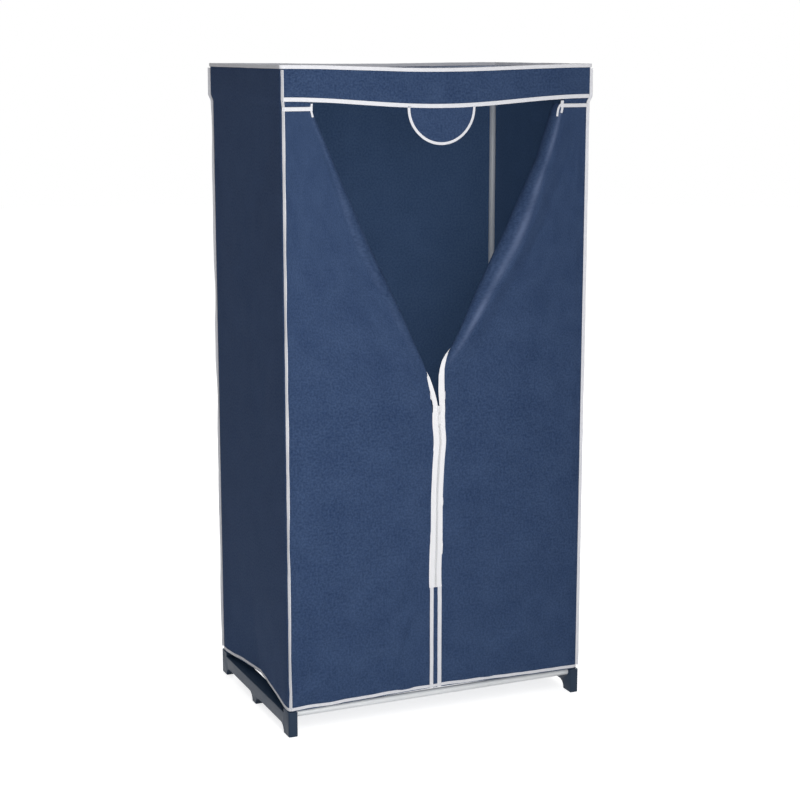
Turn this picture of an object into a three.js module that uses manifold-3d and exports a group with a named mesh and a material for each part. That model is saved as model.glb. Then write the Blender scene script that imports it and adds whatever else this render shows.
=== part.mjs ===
// Portable fabric wardrobe: a knock-down frame of steel tubes and moulded side brackets inside a sewn cover.
// Millimetres. X runs to the right, Y to the back, Z up, and the origin is on the floor under the middle.
// The front door is unzipped from the top and folded back inside, which leaves a V-shaped opening.

import * as THREE from 'three';
import { mergeVertices } from 'three/addons/utils/BufferGeometryUtils.js';
import Module from 'manifold-3d';

// The frame as a whole, over its moulded brackets
const frameWidth = 760;
const frameDepth = 496;
const frameHeight = 1518;

// Clearance between pieces that touch, and how far a joined piece is sunk into the one that carries it
const fit = 0.3;
const overlap = 1;

// Side brackets: one moulding lies on the floor on each side, and one is upside down at the top
const blockWidth = 22;
const blockDepth = 36;
const blockHeight = 59.5;
const beamUnderside = 20;
const beamTop = 49;
const middleFootLength = 24;
const middleBlockLength = 28;
const plateWidth = 36;
const plateThickness = 3;
const plateTaper = 34;
const mouldingWall = 3;
const mouldingEdge = 1;
const spigotLength = 28;
const pocketCount = 3;
const railHeight = 50;
const railInset = 19;
const blockRounding = 5;
const postInsetX = 11;
const postInsetY = 14;
const arcSteps = 6;

// Tubes and the plugs that join the two halves of a post
const tubeRadius = 8;
const tubeWall = 1;
const plugLength = 50;
const plugCollar = 5;
const roundSteps = 24;

// Cover cloth, and how far below the frame's top it widens round the top brackets
const clothThickness = 0.8;
const topCornerRadius = 5.3;
const stepDrop = 62;
const doorDrop = 81;
const hemHeight = 60.2;
const roofSagFront = 8;
const roofSagMiddle = 11;
const roofSagBack = 3;
const sideHemDraw = 24;
const sideHemKink = 20;
const sideHemFade = 360;
const sideHemLift = 6;
const frontHemLift = 6;
const frontBillow = 4;
const frontFold = 2.5;
const backBillow = 5;

// Bindings: folded tape that stands out along every seam
const seamBindingWidth = 7;
const seamBindingThickness = 2.2;
const edgeBindingWidth = 9;
const edgeBindingThickness = 1.6;

// Door fold: the opening narrows to its vertex, and the cloth rolls back round a cone that widens from there
const vertexHeight = 751;
const openingInset = 76;
const openingDrop = 87;
const foldTopRadius = 20;
const rollStart = 30;
const flapStart = 36;
const rollSteps = 10;
const foldGap = 0.4;
const cornerInset = 7;
const cornerGap = 1;

// Zip down the middle of the front
const zipHalfWidth = 17;
const zipBottom = 315;
const coilHalfWidth = 3.2;
const coilThickness = 2.4;
const coilPitch = 8;
const coilRelief = 0.5;
const partedGap = 1.3;
const stopHeight = 5;
const stopThickness = 4;
const placketHalfWidth = 7.7;

// Slider and its pull
const sliderLength = 15;
const sliderHalfWidth = 5.5;
const sliderPlate = 1.2;
const sliderChannel = 3.4;
const wedgeHalfWidth = 0.8;
const wedgeLength = 6;
const flangeThickness = 1.2;
const flangeSlot = 1.4;
const bridgeHalfWidth = 0.9;
const bridgeLength = 10;
const bridgeHeight = 2.6;
const bridgeBar = 1.1;
const pullLength = 32;
const pullHalfWidth = 3.5;
const pullThickness = 0.8;
const pullWindowLength = 9;
const pullWindowHalfWidth = 1.6;
const pullBar = 0.8;

// Valance across the top of the front, with its half-round tab
const valanceInset = 3;
const valanceEndDrop = 69;
const valanceMiddleDrop = 91;
const valanceBulge = 6;
const valanceTrimWidth = 10;
const tabHalfWidth = 79;
const tabCentre = -2;
const tabDrop = 77;
const tabTrimWidth = 6;
const tabTrimStart = 6;
const tabHingeGap = 0.6;

// Corner pieces of the header beside the opening, with the ends of their binding
const headerInset = 69;
const headerTrimWidth = 5;
const headerTrimDrop = 74;
const tailWidth = 3;
const tailReach = 13;
const tailDrop = 20;

// Shares: how far the seams stand above the roof, how the draw of the side hem falls off, and small outlines
const ringShare = 0.7;
const sideDrawShare = 0.85;
const pullShoulderShare = 0.8;
const pullTipShare = 0.5;
const frontTurnShares = [1, 0.5];

// Sizes that follow
const halfWidth = frameWidth / 2;
const halfDepth = frameDepth / 2;
const stepTop = frameHeight - stepDrop;
const doorTop = frameHeight - doorDrop;
const sideHemReach = halfDepth - blockDepth;
const openingHalfWidth = halfWidth - openingInset;
const openingLevel = frameHeight - openingDrop;
const valanceHalfWidth = halfWidth - valanceInset;
const valanceEndHeight = frameHeight - valanceEndDrop;
const valanceMiddleHeight = frameHeight - valanceMiddleDrop;
const headerReach = halfWidth - headerInset;
const headerTrimTop = frameHeight - headerTrimDrop;
const halfCloth = clothThickness / 2;
const postX = halfWidth - postInsetX;
const postY = halfDepth - postInsetY;
const railY = halfDepth - railInset;
const spigotRadius = tubeRadius - tubeWall - fit;
const sleeveRadius = tubeRadius + fit;
const seamTurn = Math.PI / 4 - fit / tubeRadius;
const sleeveHalfWidth = postX + tubeRadius + fit;
const sleeveHalfDepth = postY + tubeRadius + fit;
const topHalfWidth = halfWidth + fit;
const topHalfDepth = halfDepth + fit;
const doorPlane = -(sleeveHalfDepth + halfCloth);
const headerPlane = -(topHalfDepth + halfCloth);
const valancePlane = headerPlane - clothThickness - fit;
const roofHeight = frameHeight + fit + halfCloth;
const ringTop = roofHeight + edgeBindingWidth * ringShare;
const ringBottom = ringTop - edgeBindingWidth;
const coverTop = roofHeight + halfCloth;
const foldFlare = Math.atan(foldTopRadius / (doorTop - vertexHeight));
const foldLean = Math.atan(openingHalfWidth / (openingLevel - vertexHeight)) + foldFlare;

const wasm = await Module();
wasm.setup();

// Finishes
const finish = {
  cloth: new THREE.MeshStandardMaterial({ color: 0x3a4a70, roughness: 0.9, metalness: 0 }),
  binding: new THREE.MeshStandardMaterial({ color: 0xe6e7ea, roughness: 0.75, metalness: 0 }),
  moulding: new THREE.MeshStandardMaterial({ color: 0x1b2c3d, roughness: 0.5, metalness: 0 }),
  tube: new THREE.MeshStandardMaterial({ color: 0xf0f2f3, roughness: 0.35, metalness: 0.1 }),
  zip: new THREE.MeshStandardMaterial({ color: 0xf2f2f2, roughness: 0.6, metalness: 0 }),
  slider: new THREE.MeshStandardMaterial({ color: 0xe9eaec, roughness: 0.35, metalness: 0.2 }),
};

// Joining and cutting of closed meshes

function toSolid(geometry) {
  const bare = geometry.clone();
  bare.deleteAttribute('normal');
  bare.deleteAttribute('uv');
  const merged = mergeVertices(bare);
  const mesh = new wasm.Mesh({
    numProp: 3,
    vertProperties: new Float32Array(merged.attributes.position.array),
    triVerts: new Uint32Array(merged.index.array),
  });
  return new wasm.Manifold(mesh);
}

function toGeometry(solid) {
  const mesh = solid.getMesh();
  const positions = new Float32Array(mesh.numVert * 3);
  for (let i = 0; i < mesh.numVert; i++) {
    const first = i * mesh.numProp;
    positions.set(mesh.vertProperties.subarray(first, first + 3), i * 3);
  }
  const geometry = new THREE.BufferGeometry();
  geometry.setAttribute('position', new THREE.BufferAttribute(positions, 3));
  geometry.setIndex(new THREE.BufferAttribute(new Uint32Array(mesh.triVerts), 1));
  return geometry;
}

function join(geometries) {
  return toGeometry(geometries.map(toSolid).reduce((whole, next) => whole.add(next)));
}

function cut(geometry, tools) {
  return toGeometry(tools.map(toSolid).reduce((whole, tool) => whole.subtract(tool), toSolid(geometry)));
}

// Shapes

function box(from, to) {
  const size = new THREE.Vector3().subVectors(to, from);
  const middle = new THREE.Vector3().addVectors(from, to).multiplyScalar(0.5);
  return new THREE.BoxGeometry(size.x, size.y, size.z).translate(middle.x, middle.y, middle.z);
}

function point(x, y, z) {
  return new THREE.Vector3(x, y, z);
}

// A mesh from vertices and triangles, with its faces turned outwards
function closedMesh(vertices, triangles) {
  let sixVolumes = 0;
  for (const [a, b, c] of triangles) {
    const normal = new THREE.Vector3().crossVectors(vertices[b], vertices[c]);
    sixVolumes += vertices[a].dot(normal);
  }
  const outward = sixVolumes > 0 ? triangles : triangles.map(([a, b, c]) => [a, c, b]);
  const geometry = new THREE.BufferGeometry().setFromPoints(vertices);
  geometry.setIndex(outward.flat());
  return geometry;
}

// A thin sheet on a grid of shares: place(across, up, side) gives the point on its face at side 1 or -1
function sheet(acrossShares, upShares, place) {
  const columns = acrossShares.length;
  const rows = upShares.length;
  const vertices = [];
  for (const side of [1, -1]) {
    for (const up of upShares) {
      for (const across of acrossShares) {
        vertices.push(place(across, up, side));
      }
    }
  }
  const at = (face, row, column) => (face * rows + row) * columns + column;
  const triangles = [];
  const quad = (a, b, c, d) => triangles.push([a, b, c], [a, c, d]);
  for (let row = 0; row < rows - 1; row++) {
    for (let column = 0; column < columns - 1; column++) {
      quad(at(0, row, column), at(0, row, column + 1), at(0, row + 1, column + 1), at(0, row + 1, column));
      quad(at(1, row, column), at(1, row + 1, column), at(1, row + 1, column + 1), at(1, row, column + 1));
    }
  }
  for (let column = 0; column < columns - 1; column++) {
    quad(at(0, 0, column), at(1, 0, column), at(1, 0, column + 1), at(0, 0, column + 1));
    const last = rows - 1;
    quad(at(0, last, column), at(0, last, column + 1), at(1, last, column + 1), at(1, last, column));
  }
  for (let row = 0; row < rows - 1; row++) {
    quad(at(0, row, 0), at(0, row + 1, 0), at(1, row + 1, 0), at(1, row, 0));
    const last = columns - 1;
    quad(at(0, row, last), at(1, row, last), at(1, row + 1, last), at(0, row + 1, last));
  }
  return closedMesh(vertices, triangles);
}

// Even shares from 0 to 1
function steps(count) {
  return Array.from({ length: count + 1 }, (unused, i) => i / count);
}

// A bar with a four-sided section: each station lists its corners in order, and a ring joins its ends
function bar(stations, ring) {
  const vertices = stations.flat();
  const triangles = [];
  const count = stations.length;
  const sides = 4;
  const last = ring ? count : count - 1;
  for (let i = 0; i < last; i++) {
    const next = (i + 1) % count;
    for (let corner = 0; corner < sides; corner++) {
      const after = (corner + 1) % sides;
      const a = i * sides + corner;
      const b = i * sides + after;
      const c = next * sides + after;
      const d = next * sides + corner;
      triangles.push([a, b, c], [a, c, d]);
    }
  }
  if (!ring) {
    const end = (count - 1) * sides;
    triangles.push([0, 2, 1], [0, 3, 2], [end, end + 1, end + 2], [end, end + 2, end + 3]);
  }
  return closedMesh(vertices, triangles);
}

// An outline in X and Z, made into a plate of the given thickness about a plane of constant Y
function plate(outline, thickness, middleY, holes = []) {
  const shape = new THREE.Shape(outline);
  shape.holes = holes.map((hole) => new THREE.Path(hole));
  const geometry = new THREE.ExtrudeGeometry(shape, { depth: thickness, bevelEnabled: false });
  const upright = new THREE.Matrix4().makeBasis(point(1, 0, 0), point(0, 0, 1), point(0, -1, 0));
  return geometry.applyMatrix4(upright).translate(0, middleY + thickness / 2, 0);
}

function smooth(value, from, to) {
  return THREE.MathUtils.smoothstep(value, from, to);
}

const mix = THREE.MathUtils.lerp;

// Where two lines in a plane meet, each given by a point and a direction
function meet(a, b) {
  const turned = new THREE.Vector2(-b.along.y, b.along.x);
  const gap = new THREE.Vector2().subVectors(b.from, a.from);
  const reach = gap.dot(turned) / a.along.dot(turned);
  return a.from.clone().addScaledVector(a.along, reach);
}

// What is left of an outline on the side of a line where the given point lies
function trimmed(outline, line, keep) {
  const across = new THREE.Vector2(-line.along.y, line.along.x);
  const away = (spot) => new THREE.Vector2().subVectors(spot, line.from).dot(across);
  const side = Math.sign(away(keep));
  return outline.flatMap((spot, i) => {
    const before = outline.at(i - 1);
    const here = side * away(spot);
    const there = side * away(before);
    const crossing = here * there < 0 ? [before.clone().lerp(spot, there / (there - here))] : [];
    return here > 0 ? [...crossing, spot] : crossing;
  });
}

// The scene, and how a piece gets into it

const wardrobe = new THREE.Group();
const frame = new THREE.Group();
const cover = new THREE.Group();
wardrobe.add(frame, cover);

function add(group, name, geometry, material) {
  const mesh = new THREE.Mesh(geometry, material);
  mesh.name = name;
  group.add(mesh);
  return mesh;
}

// Brackets

// Side view of the moulding: three feet with rounded arches, a beam and a block at each end
function bracketSide(withMiddleBlock) {
  const blockEdge = halfDepth - blockDepth;
  const arch = beamUnderside;
  const footEdge = middleFootLength / 2;
  const middleEdge = middleBlockLength / 2;
  const side = new THREE.Shape();
  side.moveTo(-halfDepth, 0);
  side.lineTo(-blockEdge, 0);
  side.absarc(-blockEdge + arch, 0, arch, Math.PI, Math.PI / 2, true);
  side.absarc(-footEdge - arch, 0, arch, Math.PI / 2, 0, true);
  side.absarc(footEdge + arch, 0, arch, Math.PI, Math.PI / 2, true);
  side.absarc(blockEdge - arch, 0, arch, Math.PI / 2, 0, true);
  side.lineTo(halfDepth, 0);
  side.lineTo(halfDepth, blockHeight);
  side.lineTo(blockEdge, blockHeight);
  side.lineTo(blockEdge, beamTop);
  if (withMiddleBlock) {
    side.lineTo(middleEdge, beamTop);
    side.lineTo(middleEdge, blockHeight);
    side.lineTo(-middleEdge, blockHeight);
    side.lineTo(-middleEdge, beamTop);
  }
  side.lineTo(-blockEdge, beamTop);
  side.lineTo(-blockEdge, blockHeight);
  side.lineTo(-halfDepth, blockHeight);
  side.closePath();
  const geometry = new THREE.ExtrudeGeometry(side, {
    depth: blockWidth - 2 * mouldingEdge,
    curveSegments: arcSteps,
    bevelEnabled: true,
    bevelThickness: mouldingEdge,
    bevelSize: mouldingEdge,
    bevelOffset: -mouldingEdge,
    bevelSegments: 1,
  });
  const alongX = new THREE.Matrix4().makeBasis(point(0, 1, 0), point(0, 0, 1), point(1, 0, 0));
  return geometry.applyMatrix4(alongX).translate(mouldingEdge, 0, 0);
}

// The shelf of the beam that reaches inwards, narrowing to the blocks, with a notch where the hanging rail passes
function bracketPlate(withNotch) {
  const end = halfDepth - blockDepth + overlap;
  const outline = [
    new THREE.Vector2(overlap, -end),
    new THREE.Vector2(blockWidth, -end),
    new THREE.Vector2(plateWidth, plateTaper - end),
    new THREE.Vector2(plateWidth, end - plateTaper),
    new THREE.Vector2(blockWidth, end),
    new THREE.Vector2(overlap, end),
  ];
  const geometry = new THREE.ExtrudeGeometry(new THREE.Shape(outline), {
    depth: plateThickness,
    bevelEnabled: false,
  });
  geometry.translate(0, 0, beamTop - plateThickness);
  const reach = tubeRadius + fit + overlap;
  const notch = box(point(blockWidth, -reach, 0), point(plateWidth + overlap, reach, blockHeight));
  return withNotch ? cut(geometry, [notch]) : geometry;
}

// The beam is hollow from below, with cross ribs between its pockets
function bracketPockets() {
  const start = middleFootLength / 2 + beamUnderside;
  const end = halfDepth - blockDepth - beamUnderside;
  const pitch = (end - start) / pocketCount;
  const pockets = [];
  for (const side of [-1, 1]) {
    for (let i = 0; i < pocketCount; i++) {
      const near = side * (start + i * pitch + mouldingWall / 2);
      const far = side * (start + (i + 1) * pitch - mouldingWall / 2);
      pockets.push(box(
        point(mouldingWall, Math.min(near, far), 0),
        point(blockWidth - mouldingWall, Math.max(near, far), beamTop - plateThickness),
      ));
    }
  }
  return pockets;
}

// What is taken off the outer upright edge at one end, so that the cloth can turn round it
function bracketEdge(side) {
  const edge = halfDepth - blockRounding;
  const corner = box(
    point(-overlap, edge, -overlap),
    point(blockRounding, halfDepth + overlap, blockHeight + overlap),
  );
  const round = new THREE.CylinderGeometry(blockRounding, blockRounding, 2 * frameHeight, roundSteps);
  round.rotateX(Math.PI / 2).translate(blockRounding, edge, 0);
  return mirroredY(cut(corner, [round]), side);
}

function mirroredY(geometry, side) {
  return side > 0 ? geometry : toGeometry(toSolid(geometry).mirror([0, 1, 0]));
}

function spigotUp(y) {
  const length = spigotLength + overlap;
  const peg = new THREE.CylinderGeometry(spigotRadius, spigotRadius, length, roundSteps);
  return peg.rotateX(Math.PI / 2).translate(postInsetX, y, blockHeight - overlap + length / 2);
}

function spigotInwards(y) {
  const length = spigotLength + overlap;
  const peg = new THREE.CylinderGeometry(spigotRadius, spigotRadius, length, roundSteps);
  return peg.rotateZ(Math.PI / 2).translate(blockWidth - overlap + length / 2, y, railHeight);
}

function bracket(carriesHangingRail) {
  const tools = [...bracketPockets(), bracketEdge(-1), bracketEdge(1)];
  const hollow = cut(bracketSide(carriesHangingRail), tools);
  const pegs = [-1, 1].flatMap((side) => [spigotUp(side * postY), spigotInwards(side * railY)]);
  if (carriesHangingRail) {
    pegs.push(spigotInwards(0));
  }
  return join([hollow, bracketPlate(carriesHangingRail), ...pegs]);
}

const baseBracket = bracket(false);
const topBracket = bracket(true);
add(frame, 'base_bracket_left', baseBracket, finish.moulding).position.set(-halfWidth, 0, 0);
const baseRight = add(frame, 'base_bracket_right', baseBracket, finish.moulding);
baseRight.position.set(halfWidth, 0, 0);
baseRight.rotation.z = Math.PI;
const topLeft = add(frame, 'top_bracket_left', topBracket, finish.moulding);
topLeft.position.set(-halfWidth, 0, frameHeight);
topLeft.rotation.x = Math.PI;
const topRight = add(frame, 'top_bracket_right', topBracket, finish.moulding);
topRight.position.set(halfWidth, 0, frameHeight);
topRight.rotation.y = Math.PI;

// Tubes

// A round tube or plug from its profile of radius and height, standing on Z
function turned(profile) {
  const points = profile.map(([radius, height]) => new THREE.Vector2(radius, height));
  return new THREE.LatheGeometry(points, roundSteps).rotateX(Math.PI / 2);
}

function tube(length) {
  const bore = tubeRadius - tubeWall;
  return turned([[bore, 0], [tubeRadius, 0], [tubeRadius, length], [bore, length], [bore, 0]]);
}

function postPlug() {
  const collar = plugLength / 2;
  return turned([
    [0, 0],
    [spigotRadius, 0],
    [spigotRadius, collar],
    [tubeRadius, collar],
    [tubeRadius, collar + plugCollar],
    [spigotRadius, collar + plugCollar],
    [spigotRadius, plugLength + plugCollar],
    [0, plugLength + plugCollar],
  ]);
}

const postStart = blockHeight + fit;
const postEnd = frameHeight - blockHeight - fit;
const postMiddle = (postStart + postEnd) / 2;
const halfPost = tube(postMiddle - plugCollar / 2 - fit - postStart);
const plug = postPlug();
for (const [depthName, sideY] of [['front', -1], ['back', 1]]) {
  for (const [sideName, sideX] of [['left', -1], ['right', 1]]) {
    const corner = depthName + '_' + sideName;
    const x = sideX * postX;
    const y = sideY * postY;
    add(frame, 'post_lower_' + corner, halfPost, finish.tube).position.set(x, y, postStart);
    add(frame, 'post_upper_' + corner, halfPost, finish.tube)
      .position.set(x, y, postMiddle + plugCollar / 2 + fit);
    add(frame, 'post_joiner_' + corner, plug, finish.moulding)
      .position.set(x, y, postMiddle - (plugLength + plugCollar) / 2);
  }
}

const railEnd = halfWidth - blockWidth - fit;
const railTube = tube(2 * railEnd).rotateY(Math.PI / 2);
const rails = {
  bottom_rail_front: [-railY, railHeight],
  bottom_rail_back: [railY, railHeight],
  top_rail_front: [-railY, frameHeight - railHeight],
  top_rail_back: [railY, frameHeight - railHeight],
  hanging_rail: [0, frameHeight - railHeight],
};
for (const [name, [y, z]] of Object.entries(rails)) {
  add(frame, name, railTube, finish.tube).position.set(-railEnd, y, z);
}

// Cover: the sleeve is close round the posts and steps out over the top brackets

function coverHalfWidth(z) {
  return mix(sleeveHalfWidth, topHalfWidth, smooth(z, doorTop, stepTop));
}

function coverHalfDepth(z) {
  return mix(sleeveHalfDepth, topHalfDepth, smooth(z, doorTop, stepTop));
}

function coverRadius(z) {
  return mix(sleeveRadius, topCornerRadius, smooth(z, doorTop, stepTop));
}

// How far a place along the side's hem is on its way from the posts to the kink, where the hem is drawn in most
function sideTent(y) {
  const end = y < sideHemKink ? -sideHemReach : sideHemReach;
  return THREE.MathUtils.clamp((y - end) / (sideHemKink - end), 0, 1);
}

function sideDraw(y, z) {
  const fade = THREE.MathUtils.clamp(1 - (z - hemHeight) / sideHemFade, 0, 1);
  return sideHemDraw * Math.pow(sideTent(y), sideDrawShare) * fade * fade;
}

function sideHem(y) {
  return hemHeight + sideHemLift * sideTent(y);
}

// Stations across a wall: shares of the turn round one corner, of the run along the flat, and of the other turn
function wallColumns(count) {
  const first = frontTurnShares.map((turn) => ({ turn: -turn, run: 0 }));
  const flat = steps(count).map((run) => ({ turn: 0, run }));
  const last = frontTurnShares.map((turn) => ({ turn, run: 1 })).reverse();
  return [...first, ...flat, ...last];
}

// Where a side wall lies, on the right: out is the distance from the inner face of its cloth
function sideWall(column, z, out) {
  const radius = coverRadius(z);
  const angle = column.turn * seamTurn;
  const flat = coverHalfDepth(z) - radius;
  const y = mix(-flat, flat, column.run) + (radius + out) * Math.sin(angle);
  const x = coverHalfWidth(z) - radius + (radius + out) * Math.cos(angle);
  return point(x, y, z);
}

function backWall(column, z, out) {
  const radius = coverRadius(z);
  const angle = column.turn * seamTurn;
  const flat = coverHalfWidth(z) - radius;
  const x = mix(-flat, flat, column.run) + (radius + out) * Math.sin(angle);
  const y = coverHalfDepth(z) - radius + (radius + out) * Math.cos(angle);
  return point(x, y, z);
}

// A front wall on the right that ends at an inner edge
function frontWall(column, z, out, innerEdge) {
  const radius = coverRadius(z);
  const angle = column.turn * seamTurn;
  const x = mix(coverHalfWidth(z) - radius, innerEdge, column.run) + (radius + out) * Math.sin(angle);
  const y = coverHalfDepth(z) - radius + (radius + out) * Math.cos(angle);
  return point(x, -y, z);
}

function frontColumns(count) {
  const corner = frontTurnShares.map((turn) => ({ turn, run: 0 }));
  return [...corner, ...steps(count).map((run) => ({ turn: 0, run }))];
}

// The roof and its edges sag between the side brackets
function sagShape(x) {
  return Math.pow(Math.cos(Math.PI * THREE.MathUtils.clamp(x / topHalfWidth, -1, 1) / 2), 2);
}

function roofSag(x, y) {
  const depthShare = y / topHalfDepth;
  const edge = mix(roofSagFront, roofSagBack, (depthShare + 1) / 2);
  return sagShape(x) * (edge + (roofSagMiddle - edge) * (1 - depthShare * depthShare));
}

// The front hem lifts a little towards the middle
function frontHem(x) {
  return hemHeight + frontHemLift * sagShape(x);
}

// Upright levels of a panel as shares between its hem and its top, closer where it bends
const hemLevelShares = [0, 0.03, 0.07, 0.12, 0.18, 0.26, 0.4, 0.6, 0.8];

function panelLevels(top) {
  const shares = hemLevelShares.map((share) => mix(hemHeight, doorTop, share));
  const bend = steps(4).map((share) => mix(doorTop, stepTop, share));
  return [...shares, ...bend, top].map((z) => (z - hemHeight) / (top - hemHeight));
}

function clothOffset(face) {
  return halfCloth + face * halfCloth;
}

function sidePanel(side) {
  return sheet(wallColumns(14), panelLevels(coverTop), (column, up, face) => {
    const place = sideWall(column, mix(hemHeight, coverTop, up), clothOffset(face));
    const draw = sideDraw(place.y, place.z);
    const lift = (sideHem(place.y) - hemHeight) * (1 - up);
    return point(side * (place.x - draw), place.y, place.z + lift);
  });
}

function backPanel() {
  const top = coverTop - roofSagBack;
  return sheet(wallColumns(10), panelLevels(top), (column, up, face) => {
    const place = backWall(column, mix(hemHeight, top, up), clothOffset(face));
    const billow = backBillow * Math.sin(Math.PI * column.run) * Math.pow(Math.sin(Math.PI * up), 2);
    return point(place.x, place.y + billow, place.z);
  });
}

// The roof lies between the tops of the walls, with its corners drawn in to clear their turns
function roofPanel() {
  const cornerDraw = topCornerRadius * (1 - Math.SQRT1_2) + fit;
  return sheet(steps(12), steps(6), (across, up, face) => {
    const atCorner = (across === 0 || across === 1) && (up === 0 || up === 1);
    const inset = atCorner ? cornerDraw : fit;
    const x = mix(-1, 1, across) * (topHalfWidth - inset);
    const y = mix(-1, 1, up) * (topHalfDepth - inset);
    return point(x, y, roofHeight - roofSag(x, y) + face * halfCloth);
  });
}

// The line in the door's plane where its cloth starts to roll back, measured outwards from the middle
function foldEdge(z) {
  return Math.tan(foldLean) * (z - vertexHeight);
}

// Lower part of the front on one side: fixed, and cut off along the fold
function frontPanel(side) {
  const inner = zipHalfWidth + fit;
  const foldLevel = vertexHeight + (inner - foldGap) / Math.tan(foldLean);
  const lowRows = steps(8).map((share) => ({ share, high: false }));
  const highRows = steps(8).slice(1).map((share) => ({ share, high: true }));
  return sheet(frontColumns(12), [...lowRows, ...highRows], (column, row, face) => {
    const z = row.high ? mix(foldLevel, doorTop, row.share) : foldLevel;
    const place = frontWall(column, z, clothOffset(face), Math.max(inner, foldEdge(z) + foldGap));
    const level = row.high ? z : mix(frontHem(place.x), foldLevel, row.share);
    const up = (level - hemHeight) / (doorTop - hemHeight);
    const edge = Math.sin(Math.PI * column.run) * Math.sin(Math.PI * up);
    const wave = Math.sin(Math.PI * (3 * column.run + 2 * up));
    const y = place.y - frontBillow * edge - frontFold * edge * wave;
    return point(side * place.x, y, level);
  });
}

for (const [name, side] of [['left', -1], ['right', 1]]) {
  add(cover, 'cover_side_' + name, sidePanel(side), finish.cloth);
  add(cover, 'cover_front_' + name, frontPanel(side), finish.cloth);
}
add(cover, 'cover_back', backPanel(), finish.cloth);
add(cover, 'cover_roof', roofPanel(), finish.cloth);

// Header: the fixed corner of cloth beside the opening, behind the valance
function headerPanel(side) {
  return sheet(frontColumns(2), panelHeaderShares(), (column, up, face) => {
    const place = frontWall(column, mix(doorTop + fit, coverTop, up), clothOffset(face), headerReach);
    return point(side * place.x, place.y, place.z);
  });
}

function panelHeaderShares() {
  const bendShare = (stepTop - doorTop) / (coverTop - doorTop);
  return [...steps(4).map((share) => share * bendShare), 1];
}

for (const [name, side] of [['left', -1], ['right', 1]]) {
  add(cover, 'header_' + name, headerPanel(side), finish.cloth);
}

// Valance: hangs in front of the header from the roof's front edge

function valanceBottom(x) {
  return mix(valanceEndHeight, valanceMiddleHeight, sagShape(x));
}

function valanceY(x, z) {
  const low = valanceBottom(x);
  const hang = THREE.MathUtils.clamp((ringBottom - roofSag(x, -topHalfDepth) - z) / (ringBottom - low), 0, 1);
  return valancePlane - valanceBulge * sagShape(x) * hang * hang;
}

const valance = sheet(steps(20), steps(4), (across, up, face) => {
  const x = mix(-valanceHalfWidth, valanceHalfWidth, across);
  const z = mix(valanceBottom(x), coverTop - roofSag(x, -topHalfDepth), up);
  return point(x, valanceY(x, z) - face * halfCloth, z);
});
add(cover, 'valance', valance, finish.cloth);

const valanceTrim = sheet(steps(20), steps(1), (across, up, face) => {
  const x = mix(-valanceHalfWidth, valanceHalfWidth, across);
  const z = valanceBottom(x) + valanceTrimWidth * up;
  const stand = halfCloth + fit + (face + 1) * edgeBindingThickness / 2;
  return point(x, valanceY(x, z) - stand, z);
});
add(cover, 'valance_trim', valanceTrim, finish.binding);

// Tab: the half-round pull of cloth under the valance, bound along its curve
const tabPlane = valanceY(0, valanceMiddleHeight);
const tabTop = valanceMiddleHeight - tabHingeGap;

// Points of a half ellipse below a level, from the left end to the right
function halfEllipse(radiusX, drop, centreZ, startAngle) {
  return steps(roundSteps).map((share) => {
    const angle = mix(Math.PI + startAngle, 2 * Math.PI - startAngle, share);
    return new THREE.Vector2(tabCentre + radiusX * Math.cos(angle), centreZ + drop * Math.sin(angle));
  });
}

const tabOutline = halfEllipse(tabHalfWidth, tabDrop, tabTop, 0);
add(cover, 'valance_tab', plate(tabOutline, clothThickness, tabPlane), finish.cloth);
const trimAngle = Math.asin(tabTrimStart / (tabDrop - tabTrimWidth));
const trimOutline = [
  ...halfEllipse(tabHalfWidth, tabDrop, tabTop, trimAngle),
  ...halfEllipse(tabHalfWidth - tabTrimWidth, tabDrop - tabTrimWidth, tabTop, trimAngle).reverse(),
];
const tabTrimPlane = tabPlane - halfCloth - fit - edgeBindingThickness / 2;
add(cover, 'valance_tab_trim', plate(trimOutline, edgeBindingThickness, tabTrimPlane), finish.binding);

// Seam bindings

// Upright binding that stands out diagonally where two walls of the sleeve meet
function cornerBinding(sideX, sideY) {
  const low = hemHeight + edgeBindingWidth + 2 * fit;
  const high = ringBottom - fit;
  const bend = steps(4).map((share) => mix(doorTop, stepTop, share));
  const out = point(sideX, sideY, 0).normalize();
  const across = point(-sideY, sideX, 0).normalize().multiplyScalar(seamBindingThickness / 2);
  const stations = [low, ...bend, high].map((z) => {
    const radius = coverRadius(z);
    const centre = point(sideX * (coverHalfWidth(z) - radius), sideY * (coverHalfDepth(z) - radius), z);
    const near = centre.clone().addScaledVector(out, radius + clothThickness + fit);
    const far = near.clone().addScaledVector(out, seamBindingWidth);
    return [near.clone().add(across), far.clone().add(across), far.clone().sub(across), near.clone().sub(across)];
  });
  return bar(stations, false);
}

for (const [depthName, sideY] of [['front', -1], ['back', 1]]) {
  for (const [sideName, sideX] of [['left', -1], ['right', 1]]) {
    add(cover, 'seam_binding_' + depthName + '_' + sideName, cornerBinding(sideX, sideY), finish.binding);
  }
}

// A closed band of tape between a lower and an upper loop of points, which run counter-clockwise seen from above
function loopBinding(lowLoop, highLoop, thickness) {
  const count = lowLoop.length;
  const stations = lowLoop.map((low, i) => {
    const high = highLoop[i];
    const before = lowLoop[(i + count - 1) % count];
    const after = lowLoop[(i + 1) % count];
    const inNormal = point(low.y - before.y, before.x - low.x, 0).normalize();
    const outNormal = point(after.y - low.y, low.x - after.x, 0).normalize();
    const mitre = inNormal.clone().add(outNormal);
    mitre.multiplyScalar(2 / mitre.lengthSq());
    return [
      low.clone().addScaledVector(mitre, fit),
      low.clone().addScaledVector(mitre, fit + thickness),
      high.clone().addScaledVector(mitre, fit + thickness),
      high.clone().addScaledVector(mitre, fit),
    ];
  });
  return bar(stations, true);
}

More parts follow.
